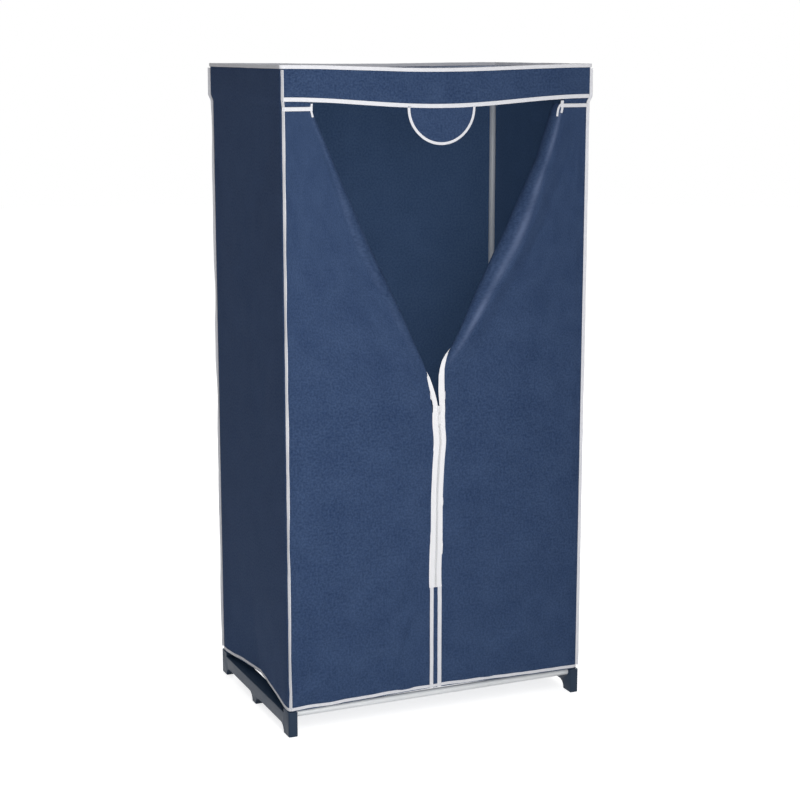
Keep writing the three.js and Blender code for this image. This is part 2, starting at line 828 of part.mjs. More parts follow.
// The loop of the cover's outer face at the top, with its sag
function topLoop(rise) {
  const side = topHalfWidth + clothThickness;
  const front = valancePlane - halfCloth;
  const back = topHalfDepth + clothThickness;
  const level = (x, y) => ringBottom + rise - roofSag(x, y);
  const along = steps(12).map((share) => mix(-side, side, share));
  const frontPoints = along.map((x) => point(x, front, level(x, -topHalfDepth)));
  const backPoints = along.map((x) => point(-x, back, level(x, topHalfDepth)));
  return [...frontPoints, ...backPoints];
}

// The loop of the cover's outer face at the hem
function hemLoop(rise) {
  const level = hemHeight - fit / 2 + rise;
  const shell = (wall, column) => wall(column, hemHeight, clothThickness);
  const side = wallColumns(14).slice(1, -1).map((column) => {
    const place = shell(sideWall, column);
    return point(place.x - sideDraw(place.y, hemHeight + rise), place.y, level + sideHem(place.y) - hemHeight);
  });
  const back = wallColumns(10).slice(1, -1).map((column) => {
    const place = shell(backWall, column);
    return point(place.x, place.y, level);
  });
  const front = wallColumns(12).slice(1, -1).map((column) => {
    const place = shell(backWall, column);
    return point(place.x, -place.y, level + frontHem(place.x) - hemHeight);
  });
  const corner = (sideX, sideY) => {
    const reach = (sleeveRadius + clothThickness) / Math.SQRT2;
    const x = sleeveHalfWidth - sleeveRadius + reach;
    const y = sleeveHalfDepth - sleeveRadius + reach;
    return point(sideX * x, sideY * y, level);
  };
  const left = side.map((place) => point(-place.x, place.y, place.z)).reverse();
  return [
    ...front, corner(1, -1), ...side, corner(1, 1), ...back.reverse(), corner(-1, 1), ...left, corner(-1, -1),
  ];
}

add(cover, 'top_binding', loopBinding(topLoop(0), topLoop(edgeBindingWidth), edgeBindingThickness), finish.binding);
add(cover, 'hem_binding', loopBinding(hemLoop(0), hemLoop(edgeBindingWidth), edgeBindingThickness), finish.binding);

// Binding along the top of the fixed front, turned up over the end of the header, with its cut end left hanging
function headerBinding(side) {
  const back = halfCloth + fit;
  const middle = back + edgeBindingThickness / 2;
  const front = back + edgeBindingThickness;
  const strip = box(
    point(headerReach - headerTrimWidth, doorPlane - front, doorTop - edgeBindingWidth),
    point(sleeveHalfWidth - overlap, doorPlane - back, doorTop),
  );
  const turn = sheet(steps(1), steps(4), (across, up, face) => {
    const z = mix(doorTop - edgeBindingWidth, headerTrimTop, up);
    const x = headerReach - headerTrimWidth * across;
    const y = -(coverHalfDepth(z) + halfCloth) - middle - face * edgeBindingThickness / 2;
    return point(x, y, z);
  });
  const tail = bar(steps(4).map((share) => {
    const x = headerReach - headerTrimWidth / 2 - tailReach * Math.sin(share * Math.PI / 2);
    const z = doorTop - edgeBindingWidth / 2 - tailDrop * share * share;
    const along = point(-tailReach * Math.cos(share * Math.PI / 2), 0, -tailDrop * share - fit).normalize();
    const across = point(along.z, 0, -along.x).multiplyScalar(tailWidth / 2);
    const through = point(0, halfCloth, 0);
    const here = point(x, doorPlane - middle, z);
    return [
      here.clone().add(across).add(through),
      here.clone().add(across).sub(through),
      here.clone().sub(across).sub(through),
      here.clone().sub(across).add(through),
    ];
  }), false);
  return mirrored(join([strip, turn, tail]), side);
}

function mirrored(geometry, side) {
  return side > 0 ? geometry : toGeometry(toSolid(geometry).mirror([1, 0, 0]));
}

for (const [name, side] of [['left', -1], ['right', 1]]) {
  add(cover, 'header_binding_' + name, headerBinding(side), finish.binding);
}

// Placket: the strip that closes the front below the zip, bound down both edges
const placketTop = zipBottom - fit;

function placketStrip(fromX, toX, thickness, middleY) {
  return sheet(steps(1), steps(4), (across, up, face) => {
    const x = mix(fromX, toX, across);
    const z = mix(frontHem(x), placketTop, up);
    return point(x, middleY - face * thickness / 2, z);
  });
}

add(cover, 'placket', placketStrip(-placketHalfWidth, placketHalfWidth, clothThickness, doorPlane), finish.cloth);
for (const [name, side] of [['left', -1], ['right', 1]]) {
  const flush = doorPlane + (edgeBindingThickness - clothThickness) / 2;
  const strip = placketStrip(placketHalfWidth + fit, zipHalfWidth, edgeBindingThickness, flush);
  add(cover, 'placket_binding_' + name, mirrored(strip, side), finish.binding);
}

// Zip: a coil that closes the lower front, and a half of it along the edge of each loose flap

// The edge of a coil as a row of steps from one height to another
function coilEdge(from, to, x, relief) {
  const count = 2 * Math.round((to - from) / coilPitch);
  return steps(count).map((share, i) => new THREE.Vector2(x - (i % 2) * relief, mix(from, to, share)));
}

const sliderTop = vertexHeight - fit;
const sliderBottom = sliderTop - sliderLength;
const coilTop = sliderTop - wedgeLength - fit;
const coilOutline = [
  ...coilEdge(zipBottom, coilTop, coilHalfWidth, coilRelief),
  ...coilEdge(zipBottom, coilTop, -coilHalfWidth, -coilRelief).reverse(),
];
const stop = box(
  point(-coilHalfWidth, doorPlane - stopThickness / 2, zipBottom),
  point(coilHalfWidth, doorPlane + stopThickness / 2, zipBottom + stopHeight),
);
add(cover, 'zip_teeth', join([plate(coilOutline, coilThickness, doorPlane), stop]), finish.zip);

for (const [name, side] of [['left', -1], ['right', 1]]) {
  const inner = coilHalfWidth + fit;
  const outline = [
    new THREE.Vector2(inner, zipBottom),
    new THREE.Vector2(zipHalfWidth, zipBottom),
    new THREE.Vector2(zipHalfWidth, vertexHeight + (zipHalfWidth - foldGap) / Math.tan(foldLean)),
    new THREE.Vector2(inner, vertexHeight + (inner - foldGap) / Math.tan(foldLean)),
  ];
  add(cover, 'zip_tape_' + name, mirrored(plate(outline, clothThickness, doorPlane), side), finish.zip);
}

// Flaps: the loose half doors lie folded back behind the fixed front, and turn the corner along the side.
// They are drawn in the plane of the closed door first, then turned half round the axis of the fold's cone.

const cornerX = sleeveHalfWidth - cornerInset;
const vertex = point(0, doorPlane, vertexHeight);
const coneAxis = point(
  Math.sin(foldLean) * Math.cos(foldFlare),
  Math.sin(foldFlare),
  Math.cos(foldLean) * Math.cos(foldFlare),
);

function heading(angle) {
  return new THREE.Vector2(Math.sin(angle), Math.cos(angle));
}

function rotationAbout(through, axis, angle) {
  const out = new THREE.Matrix4().makeTranslation(through);
  const turn = new THREE.Matrix4().makeRotationAxis(axis, angle);
  const back = new THREE.Matrix4().makeTranslation(through.clone().negate());
  return out.multiply(turn).multiply(back);
}

const foldBack = rotationAbout(vertex, coneAxis, Math.PI);

// Lines of the closed half door on the right, in X and Z
const flatVertex = new THREE.Vector2(0, vertexHeight);
const inwards = heading(foldLean - Math.PI / 2);
const foldLine = { from: flatVertex.clone().addScaledVector(inwards, foldGap), along: heading(foldLean) };
const startLine = { from: flatVertex.clone().addScaledVector(heading(foldLean), flapStart), along: inwards };
const topEdge = { from: new THREE.Vector2(0, doorTop), along: heading(Math.PI / 2) };

function zipLine(inset) {
  return { from: new THREE.Vector2(inset, vertexHeight), along: heading(0) };
}

// The line that comes to lie at the corner post when the door is folded back
function cornerLine(shift) {
  const across = new THREE.Vector2(2 * coneAxis.x * coneAxis.x - 1, 2 * coneAxis.x * coneAxis.z);
  const reach = (cornerX + shift) / across.lengthSq();
  const along = new THREE.Vector2(-across.y, across.x);
  return { from: flatVertex.clone().addScaledVector(across, reach), along };
}

const clothEdge = zipLine(zipHalfWidth + fit);
const tapeEdge = zipLine(zipHalfWidth);
const freeEdge = zipLine((partedGap + coilHalfWidth) / 2);
const coilFree = zipLine(partedGap);
const coilInner = zipLine(coilHalfWidth);
const beforeCorner = cornerLine(-cornerGap);
const afterCorner = cornerLine(cornerGap);

// Half of the coil up the zip edge between two lines that cross it
function halfCoil(low, high) {
  const from = Math.max(meet(coilFree, low).y, meet(coilInner, low).y);
  const until = Math.min(meet(coilFree, high).y, meet(coilInner, high).y);
  const inner = [new THREE.Vector2(coilHalfWidth, until), new THREE.Vector2(coilHalfWidth, from)];
  return plate([...coilEdge(from, until, partedGap, -coilRelief), ...inner], coilThickness, doorPlane);
}

const flapCloth = plate([
  meet(foldLine, clothEdge),
  meet(foldLine, topEdge),
  meet(beforeCorner, topEdge),
  meet(beforeCorner, clothEdge),
], clothThickness, doorPlane);

const cornerCloth = plate([
  meet(afterCorner, topEdge),
  meet(clothEdge, topEdge),
  meet(afterCorner, clothEdge),
], clothThickness, doorPlane);

const flapTape = join([
  plate(trimmed([
    meet(foldLine, tapeEdge),
    meet(beforeCorner, tapeEdge),
    meet(beforeCorner, freeEdge),
    meet(foldLine, freeEdge),
  ], startLine, meet(beforeCorner, tapeEdge)), clothThickness, doorPlane),
  halfCoil(startLine, beforeCorner),
]);

const cornerTape = join([
  plate([
    meet(afterCorner, tapeEdge),
    meet(topEdge, tapeEdge),
    meet(topEdge, freeEdge),
    meet(afterCorner, freeEdge),
  ], clothThickness, doorPlane),
  halfCoil(afterCorner, topEdge),
]);

// Where the folded flap meets the corner, and how far its corner turns there to run along the side
const cornerMiddle = cornerLine(0);
const cornerFoot = point(cornerMiddle.from.x, doorPlane, cornerMiddle.from.y).applyMatrix4(foldBack);
const cornerAxis = point(cornerMiddle.along.x, 0, cornerMiddle.along.y).transformDirection(foldBack);
if (cornerAxis.z < 0) {
  cornerAxis.negate();
}
const flapNormal = point(0, -1, 0).transformDirection(foldBack);
const flatWay = new THREE.Vector3().crossVectors(cornerAxis, flapNormal);
if (flatWay.x < 0) {
  flatWay.negate();
}
const sideWay = new THREE.Vector3().crossVectors(cornerAxis, point(1, 0, 0));
const roundCorner = rotationAbout(cornerFoot, cornerAxis, flatWay.angleTo(sideWay)).multiply(foldBack);

// The cloth between the fixed front and the flap, rolled through half a turn round the cone
const foldRoll = sheet(steps(rollSteps), steps(6), (across, up, face) => {
  const angle = Math.PI * across;
  const radial = point(
    Math.sin(foldLean) * Math.sin(foldFlare),
    -Math.cos(foldFlare),
    Math.cos(foldLean) * Math.sin(foldFlare),
  );
  radial.multiplyScalar(Math.cos(angle));
  radial.addScaledVector(point(inwards.x, 0, inwards.y), Math.sin(angle));
  const growth = Math.tan(foldFlare);
  const stand = face * halfCloth;
  const topReach = (doorTop - vertexHeight - stand * radial.z) / (coneAxis.z + growth * radial.z);
  const reach = mix(rollStart, topReach, up);
  return vertex.clone().addScaledVector(coneAxis, reach).addScaledVector(radial, reach * growth + stand);
});

const flapPieces = {
  flap: [flapCloth, foldBack, finish.cloth],
  flap_tape: [flapTape, foldBack, finish.zip],
  flap_corner: [cornerCloth, roundCorner, finish.cloth],
  flap_corner_tape: [cornerTape, roundCorner, finish.zip],
};

for (const [name, side] of [['left', -1], ['right', 1]]) {
  add(cover, 'fold_roll_' + name, mirrored(foldRoll, side), finish.cloth);
  for (const [kind, [flat, placing, material]] of Object.entries(flapPieces)) {
    add(cover, kind + '_' + name, mirrored(flat.clone().applyMatrix4(placing), side), material);
  }
}

// Slider: two plates with flanges round the coil, a wedge between its halves and a bridge for the pull

const channelFront = doorPlane - sliderChannel / 2;
const channelBack = doorPlane + sliderChannel / 2;
const plateFront = channelFront - sliderPlate;
const bridgeMiddle = (sliderTop + sliderBottom) / 2;
const bridgeBottom = bridgeMiddle - bridgeLength / 2;
const bridgeTop = bridgeMiddle + bridgeLength / 2;

function sliderOutline() {
  const neck = sliderHalfWidth - flangeThickness / 2;
  return [
    new THREE.Vector2(-neck, sliderBottom),
    new THREE.Vector2(neck, sliderBottom),
    new THREE.Vector2(sliderHalfWidth, bridgeMiddle),
    new THREE.Vector2(sliderHalfWidth, sliderTop),
    new THREE.Vector2(-sliderHalfWidth, sliderTop),
    new THREE.Vector2(-sliderHalfWidth, bridgeMiddle),
  ];
}

const sliderParts = [
  plate(sliderOutline(), sliderPlate, channelFront - sliderPlate / 2),
  plate(sliderOutline(), sliderPlate, channelBack + sliderPlate / 2),
  box(
    point(-wedgeHalfWidth, channelFront - sliderPlate / 2, sliderTop - wedgeLength),
    point(wedgeHalfWidth, channelBack + sliderPlate / 2, sliderTop),
  ),
];
for (const side of [-1, 1]) {
  const outer = side * (sliderHalfWidth - flangeThickness / 2);
  const inner = outer - side * flangeThickness;
  const left = Math.min(inner, outer);
  const right = Math.max(inner, outer);
  sliderParts.push(box(
    point(left, channelFront - sliderPlate / 2, sliderBottom),
    point(right, doorPlane - flangeSlot / 2, sliderTop),
  ));
  sliderParts.push(box(
    point(left, doorPlane + flangeSlot / 2, sliderBottom),
    point(right, channelBack + sliderPlate / 2, sliderTop),
  ));
}
const bridge = cut(
  box(
    point(-bridgeHalfWidth, plateFront - bridgeHeight, bridgeBottom),
    point(bridgeHalfWidth, plateFront + sliderPlate / 2, bridgeTop),
  ),
  [box(
    point(-pullHalfWidth, plateFront - bridgeHeight + bridgeBar, bridgeBottom + bridgeBar),
    point(pullHalfWidth, plateFront + sliderPlate, bridgeTop - bridgeBar),
  )],
);
add(cover, 'zip_slider', join([...sliderParts, bridge]), finish.slider);

// Pull: hangs from the bridge by the bar across the top of its window
const pullY = plateFront - (bridgeHeight - bridgeBar) / 2;
const pullTop = bridgeBottom + bridgeBar + pullBar + fit;
const pullBottom = pullTop - pullLength;
const pullShoulder = pullHalfWidth * pullShoulderShare;
const pullOutline = [
  new THREE.Vector2(-pullShoulder, pullTop),
  new THREE.Vector2(-pullShoulder, pullTop - pullWindowLength),
  new THREE.Vector2(-pullHalfWidth, pullBottom + pullHalfWidth),
  new THREE.Vector2(-pullHalfWidth * pullTipShare, pullBottom),
  new THREE.Vector2(pullHalfWidth * pullTipShare, pullBottom),
  new THREE.Vector2(pullHalfWidth, pullBottom + pullHalfWidth),
  new THREE.Vector2(pullShoulder, pullTop - pullWindowLength),
  new THREE.Vector2(pullShoulder, pullTop),
];
const windowTop = pullTop - pullBar;
const windowOutline = [
  new THREE.Vector2(-pullWindowHalfWidth, windowTop),
  new THREE.Vector2(pullWindowHalfWidth, windowTop),
  new THREE.Vector2(pullWindowHalfWidth, windowTop - pullWindowLength),
  new THREE.Vector2(-pullWindowHalfWidth, windowTop - pullWindowLength),
];
add(cover, 'zip_pull', plate(pullOutline, pullThickness, pullY, [windowOutline]), finish.slider);

export default wardrobe;
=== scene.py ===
# Portable fabric wardrobe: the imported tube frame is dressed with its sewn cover, bindings, zip and finishes.
# Sizes in the dictionaries are millimetres unless they say otherwise, with the floor at 0 and the front at -Y.
# A side is -1 for the left and 1 for the right.
from math import acos, atan, copysign, cos, exp, hypot, pi, radians, sin, tan
import bpy
from mathutils import Matrix, Vector, geometry, noise


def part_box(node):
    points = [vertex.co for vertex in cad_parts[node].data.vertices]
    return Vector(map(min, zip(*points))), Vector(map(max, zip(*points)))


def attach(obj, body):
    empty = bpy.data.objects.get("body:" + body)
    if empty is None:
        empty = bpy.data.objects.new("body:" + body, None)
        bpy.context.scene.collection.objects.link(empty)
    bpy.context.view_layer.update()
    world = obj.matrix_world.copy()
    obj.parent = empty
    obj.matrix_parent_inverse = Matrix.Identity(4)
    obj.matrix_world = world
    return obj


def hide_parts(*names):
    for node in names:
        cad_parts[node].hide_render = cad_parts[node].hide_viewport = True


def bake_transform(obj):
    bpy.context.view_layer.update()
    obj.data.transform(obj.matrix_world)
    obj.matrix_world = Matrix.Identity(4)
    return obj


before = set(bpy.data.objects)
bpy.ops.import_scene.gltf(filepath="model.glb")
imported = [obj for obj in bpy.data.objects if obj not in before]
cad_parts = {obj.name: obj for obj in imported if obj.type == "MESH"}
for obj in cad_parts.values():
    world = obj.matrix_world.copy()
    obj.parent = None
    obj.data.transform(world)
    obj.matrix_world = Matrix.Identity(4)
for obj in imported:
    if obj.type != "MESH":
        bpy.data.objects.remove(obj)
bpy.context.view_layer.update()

scene = bpy.context.scene
mm = 0.001
hand = {-1: "left", 1: "right"}
outward = Vector((0, -1, 0))  # out of the front


def newObject(name):  # names the object that was just added
    made = bpy.context.object
    made.name = made.data.name = name
    return made


# Camera, at the height of the roof and to the left of the front: metres and radians, lens and sensor in millimetres

view = dict(place=(-1.69786, -3.91488, 1.56298), turn=0.41084, dip=0.19497, far=60, lens=80.25, sensor=36)

bpy.ops.object.camera_add(location=view["place"], rotation=(pi / 2 - view["dip"], 0, -view["turn"]))
lookout = newObject("lookout")
lookout.data.lens = view["lens"]
lookout.data.sensor_width = view["sensor"]
lookout.data.clip_end = view["far"]
scene.camera = lookout
print("camera set")


# Materials

finishes = {}  # the materials by slot
waveTurn = 6.283  # divides the waves in a metre to give the scale of a wave texture


def fromHex(code):  # sRGB hex to linear
    parts = [int(code[i:i + 2], 16) / 255 for i in (1, 3, 5)]
    return tuple(p / 12.92 if p <= 0.04045 else ((p + 0.055) / 1.055) ** 2.4 for p in parts) + (1.0,)


def addNode(tree, kind, inputs=None, **settings):  # an input is a constant or the socket that feeds it
    made = tree.nodes.new(kind)
    for key, value in settings.items():
        setattr(made, key, value)
    for key, value in (inputs or {}).items():
        if isinstance(value, bpy.types.NodeSocket):
            tree.links.new(value, made.inputs[key])
        else:
            made.inputs[key].default_value = value
    return made


def addNoise(tree, place, scale, detail=2.0, roughness=0.5, **settings):
    inputs = {"Vector": place, "Scale": scale, "Detail": detail, "Roughness": roughness}
    return addNode(tree, "ShaderNodeTexNoise", inputs, **settings).outputs["Fac"]


def addRange(tree, value, low, high, start=0.0, end=1.0):  # low to high becomes start to end
    inputs = {"Value": value, "From Min": low, "From Max": high, "To Min": start, "To Max": end}
    return addNode(tree, "ShaderNodeMapRange", inputs).outputs[0]


def addMath(tree, operation, *terms):
    return addNode(tree, "ShaderNodeMath", dict(enumerate(terms)), operation=operation).outputs[0]


def addMix(tree, share, first, second):
    return addNode(tree, "ShaderNodeMix", {"Factor": share, "A": first, "B": second}).outputs[0]


def newMaterial(name, roughness, **shader):
    material = bpy.data.materials.new(name)
    material.use_nodes = True
    tree = material.node_tree
    surface = tree.nodes["Principled BSDF"]
    surface.inputs["Roughness"].default_value = roughness
    for key, value in shader.items():
        surface.inputs[key.replace("_", " ")].default_value = value
    return material, tree, surface


def twoTone(tree, surface, share, low, high):  # each colour is a hex code or a socket
    colours = {key: fromHex(code) if isinstance(code, str) else code for key, code in (("A", low), ("B", high))}
    mixed = addNode(tree, "ShaderNodeMix", {"Factor": share, **colours}, data_type="RGBA").outputs[2]
    tree.links.new(mixed, surface.inputs["Base Color"])
    return mixed


def bumpBy(tree, surface, height, strength, distance):
    bump = addNode(tree, "ShaderNodeBump", {"Strength": strength, "Distance": distance, "Height": height})
    tree.links.new(bump.outputs["Normal"], surface.inputs["Normal"])


# Spunbond polypropylene, dyed navy and point-bonded: matt and finely flecked, with a painted highlight, a paler colour
# along the ridge of each fold.
# It is thin enough for blue light to come through it to the inside.
cloth = dict(low="#2b3f62", high="#4a5f82", paintedHighlight="#7d8db0", through="#9bb4cf", cloud=70, fibre=4.8, bond=2.8,
             fleckShare=0.72, throughShare=0.25, fibreRelief=0.5, roughness=0.8)
finishes["cloth"], tree, surface = newMaterial("spunbondPolypropylene", cloth["roughness"], IOR=1.49,
                                               Specular_IOR_Level=0.14)
uv = addNode(tree, "ShaderNodeUVMap").outputs["UV"]
clouds = addNoise(tree, uv, 1000 / cloth["cloud"], detail=5.0, roughness=0.62, noise_dimensions="2D")
fibres = addNoise(tree, uv, 1000 / cloth["fibre"], roughness=0.6, noise_dimensions="2D")
mottle = addMix(tree, cloth["fleckShare"], addRange(tree, clouds, 0.3, 0.7), addRange(tree, fibres, 0.34, 0.66))
dyed = twoTone(tree, surface, mottle, cloth["low"], cloth["high"])
# Painted highlight: a mesh attribute turns the cloth colour paler along the ridges of the folds
paintedHighlight = addNode(tree, "ShaderNodeAttribute", attribute_name="paintedHighlight").outputs["Fac"]
twoTone(tree, surface, paintedHighlight, dyed, cloth["paintedHighlight"])
glimmer = addNode(tree, "ShaderNodeBsdfTranslucent", {"Color": fromHex(cloth["through"])}).outputs[0]
thin = addNode(tree, "ShaderNodeMixShader", {0: cloth["throughShare"], 1: surface.outputs[0], 2: glimmer})
tree.links.new(thin.outputs[0], tree.nodes["Material Output"].inputs["Surface"])
bondPoints = {"Scale": 1000 / cloth["bond"], "Randomness": 0.15, "Vector": uv}  # drawn coarser than the real 1 mm
bonds = addNode(tree, "ShaderNodeTexVoronoi", bondPoints, voronoi_dimensions="2D").outputs["Distance"]
relief = addMix(tree, cloth["fibreRelief"], addRange(tree, bonds, 0, 0.5), fibres)
bumpBy(tree, surface, relief, strength=0.25, distance=0.4 * mm)

# Folded polyester binding tape, woven off-white: soft ribs across it and a stitch line near its inner edge
tape = dict(low="#dcdde3", high="#f1f1f5", rib=1.6, stitch=3.6, edge=1.8, soilScale=90.0, soilShare=0.6,
            ribHeight=0.4, roughness=0.72)
finishes["binding"], tree, surface = newMaterial("wovenBindingTape", tape["roughness"], IOR=1.5)
uv = addNode(tree, "ShaderNodeUVMap").outputs["UV"]
parts = addNode(tree, "ShaderNodeSeparateXYZ", {"Vector": uv}).outputs
ribWave = {"Scale": 1000 / tape["rib"] / waveTurn, "Distortion": 0.6, "Vector": uv}
ribs = addNode(tree, "ShaderNodeTexWave", ribWave, bands_direction="Y").outputs["Fac"]
soil = addNoise(tree, uv, tape["soilScale"], detail=3.0, noise_dimensions="2D")
twoTone(tree, surface, addMix(tree, tape["soilShare"], ribs, soil), tape["low"], tape["high"])
along = addMath(tree, "PINGPONG", parts["Y"], tape["stitch"] * mm)
away = addMath(tree, "ABSOLUTE", addMath(tree, "SUBTRACT", parts["X"], tape["edge"] * mm))
thread = addMath(tree, "MULTIPLY", addRange(tree, along, 0.9 * mm, 1.5 * mm),
                 addRange(tree, away, 0.35 * mm, 0.6 * mm, 1.0, 0.0))
stitched = addMath(tree, "MULTIPLY", thread, thread)
bumpBy(tree, surface, addMath(tree, "MULTIPLY_ADD", ribs, tape["ribHeight"], stitched), strength=0.35,
       distance=0.3 * mm)

# Woven polyester zip tape: whiter and denser than the binding, in a fine twill
zipTape = dict(low="#eeeef3", high="#fbfbfc", twill=1.5, lean=32, roughness=0.66)
finishes["zip_tape"], tree, surface = newMaterial("twillZipTape", zipTape["roughness"], IOR=1.5)
uv = addNode(tree, "ShaderNodeUVMap").outputs["UV"]
leaning = addNode(tree, "ShaderNodeMapping", {"Rotation": (0, 0, radians(zipTape["lean"])), "Vector": uv})
twillWave = {"Scale": 1000 / zipTape["twill"] / waveTurn, "Vector": leaning.outputs[0]}
twill = addNode(tree, "ShaderNodeTexWave", twillWave).outputs["Fac"]
twoTone(tree, surface, twill, zipTape["low"], zipTape["high"])
bumpBy(tree, surface, twill, strength=0.3, distance=0.2 * mm)


# A plain material in the piece's own space: tone and grain give the scale, detail and roughness of a noise for its two
# tones and for its bumps, and bump gives their strength and height
def grained(name, look, **shader):
    material, tree, surface = newMaterial(name, look["roughness"], **shader)
    place = addNode(tree, "ShaderNodeTexCoord").outputs["Object"]
    tone = addNoise(tree, place, *look["tone"])
    twoTone(tree, surface, tone, look["low"], look["high"])
    if "grain" in look:
        strength, height = look["bump"]
        bumpBy(tree, surface, addNoise(tree, place, *look["grain"]), strength, height * mm)
    return material, tree, surface, tone


# Acetal zip coil, extruded and bent: smooth, with a soft waxy highlight
acetal = dict(low="#dededf", high="#f0f0f0", tone=(260.0,), roughness=0.38)
finishes["zip_coil"] = grained("extrudedAcetal", acetal, IOR=1.48, Subsurface_Weight=0.05)[0]

# Zinc casting under white enamel: even and glossy, a little rippled
enamel = dict(low="#e6e7ea", high="#efeff1", tone=(420.0, 1.0), grain=(420.0, 1.0), bump=(0.15, 0.2), roughness=0.3)
finishes["enamel"] = grained("enamelledZinc", enamel, IOR=1.5, Coat_Weight=0.3, Coat_Roughness=0.15)[0]

# Polypropylene, injection moulded in dark navy: satin, with the spark-eroded grain of the tool
moulded = dict(low="#18283b", high="#25384e", tone=(22.0, 3.0, 0.6), grain=(1000 / 1.1, 2.0), bump=(0.2, 0.3),
               roughness=0.46, smoothest=0.4, roughest=0.56)
finishes["moulding"], tree, surface, flow = grained("mouldedPolypropylene", moulded, Specular_IOR_Level=0.25, IOR=1.49)
uneven = addRange(tree, flow, 0, 1, moulded["smoothest"], moulded["roughest"])
tree.links.new(uneven, surface.inputs["Roughness"])

# Steel tube under white powder coat: satin gloss with a fine orange peel
powder = dict(low="#e9ecee", high="#f6f8f9", tone=(14.0, 2.0), grain=(1000 / 1.8, 1.0), bump=(0.12, 0.3),
              roughness=0.33)
finishes["tube"] = grained("powderCoatedSteel", powder, IOR=1.5)[0]
print("materials made")


# Helpers for modelling

def alone(piece):  # the only selected and the active object
    bpy.ops.object.select_all(action="DESELECT")
    piece.select_set(True)
    bpy.context.view_layer.objects.active = piece


def addModifier(piece, kind, **settings):
    alone(piece)
    modifier = piece.modifiers.new(kind.title(), kind)
    for key, value in settings.items():
        setattr(modifier, key, value)
    bpy.ops.object.modifier_apply(modifier=modifier.name)


def smoothShade(piece, degrees):
    alone(piece)
    bpy.ops.object.shade_smooth_by_angle(angle=radians(degrees))


def dress(piece, slot, *nodes, body="wardrobe"):
    piece.data.materials.clear()
    piece.data.materials.append(finishes[slot])
    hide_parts(*nodes)
    if body:
        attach(piece, body)


def joinAll(pieces):  # into the first of them
    alone(pieces[0])
    for piece in pieces[1:]:
        piece.select_set(True)
    bpy.ops.object.join()


def mix(a, b, share):
    return a + (b - a) * share


def clamp(value, low=0.0, high=1.0):
    return max(low, min(high, value))


def ease(value, start, end):
    share = clamp((value - start) / (end - start))
    return share * share * (3 - 2 * share)


def spread(start, end, spacing):
    count = max(1, round(abs(end - start) / spacing))
    return [start + (end - start) * i / count for i in range(count + 1)]


def curve(table, at):  # a straight run from each (place, value) of a table to the next
    if at <= table[0][0]:
        return table[0][1]
    for (x0, y0), (x1, y1) in zip(table, table[1:]):
        if at <= x1:
            return mix(y0, y1, (at - x0) / (x1 - x0))
    return table[-1][1]


# A sheet of cloth: a grid whose points are set by place(column, row), with its UVs in metres, given its thickness.
# With flip the columns run the other way, so that the cloth keeps its outer face outside.
def layCloth(name, columns, rows, place, thickness=0.6, offset=0.0, sharp=50, highlightAt=None, flip=False):
    columns = columns[::-1] if flip else columns
    lastColumn, lastRow = len(columns) - 1, len(rows) - 1
    bpy.ops.mesh.primitive_grid_add(x_subdivisions=lastColumn, y_subdivisions=lastRow, size=1)
    piece = newObject(name)
    mesh = piece.data
    spots = [(round((vertex.co.x + 0.5) * lastColumn), round((vertex.co.y + 0.5) * lastRow))
             for vertex in mesh.vertices]
    places = {(i, j): Vector(place(columns[i], rows[j])) * mm for i, j in set(spots)}
    reach, rise = [0.0], [0.0]
    for i in range(lastColumn):
        steps = [(places[i + 1, j] - places[i, j]).length for j in (0, len(rows) // 2, lastRow)]
        reach.append(reach[-1] + max(steps))
    for j in range(lastRow):
        steps = [(places[i, j + 1] - places[i, j]).length for i in (0, len(columns) // 2, lastColumn)]
        rise.append(rise[-1] + max(steps))
    for vertex in mesh.vertices:
        vertex.co = places[spots[vertex.index]]
    layer = mesh.uv_layers.active.data
    for loop in mesh.loops:
        column, row = spots[loop.vertex_index]
        layer[loop.index].uv = (reach[column], rise[row])
    # Each point's share of the painted highlight along a fold's ridge is kept as a mesh attribute
    if highlightAt:
        paintedHighlight = mesh.attributes.new("paintedHighlight", "FLOAT", "POINT").data
        for vertex in mesh.vertices:
            column, row = spots[vertex.index]
            paintedHighlight[vertex.index].value = highlightAt(columns[column], rows[row])
    weld(piece, 0.02)
    if thickness:
        addModifier(piece, "SOLIDIFY", thickness=thickness * mm, offset=offset, use_even_offset=False)
    smoothShade(piece, sharp)
    return piece


def weld(piece, gap, flatten=None):  # joins points closer than the gap, and clears edges flatter than an angle
    alone(piece)
    bpy.ops.object.mode_set(mode="EDIT")
    bpy.ops.mesh.select_all(action="SELECT")
    bpy.ops.mesh.remove_doubles(threshold=gap * mm)
    if flatten:
        bpy.ops.mesh.dissolve_limited(angle_limit=radians(flatten))
    bpy.ops.object.mode_set(mode="OBJECT")


# Height of a set of soft creases at a place: each runs from one point to another, with its half width and height.
# At both ends it keeps a share of that height.
def creases(x, z, table, ends=0.3):
    total = 0.0
    for x0, z0, x1, z1, half, height in table:
        dx, dz = x1 - x0, z1 - z0
        near = clamp(((x - x0) * dx + (z - z0) * dz) / (dx * dx + dz * dz))
        away = hypot(x - x0 - near * dx, z - z0 - near * dz)
        if away < 3 * half:
            total += height * exp(-(away / half) ** 2) * mix(ends, 1, sin(pi * near))
    return total


def drift(x, z, size, seed):  # slow unevenness between -1 and 1
    return noise.noise(Vector((x / size, seed, z / size)))


def waves(x, z, *table):  # unevenness from the height, size and seed of each wave
    return sum(height * drift(x, z, size, seed) for height, size, seed in table)


# Cover: the sleeve is close round the posts and widens in a step over the top brackets. The middle of its cloth stands
# off the frame a little, and the front hem arches up.

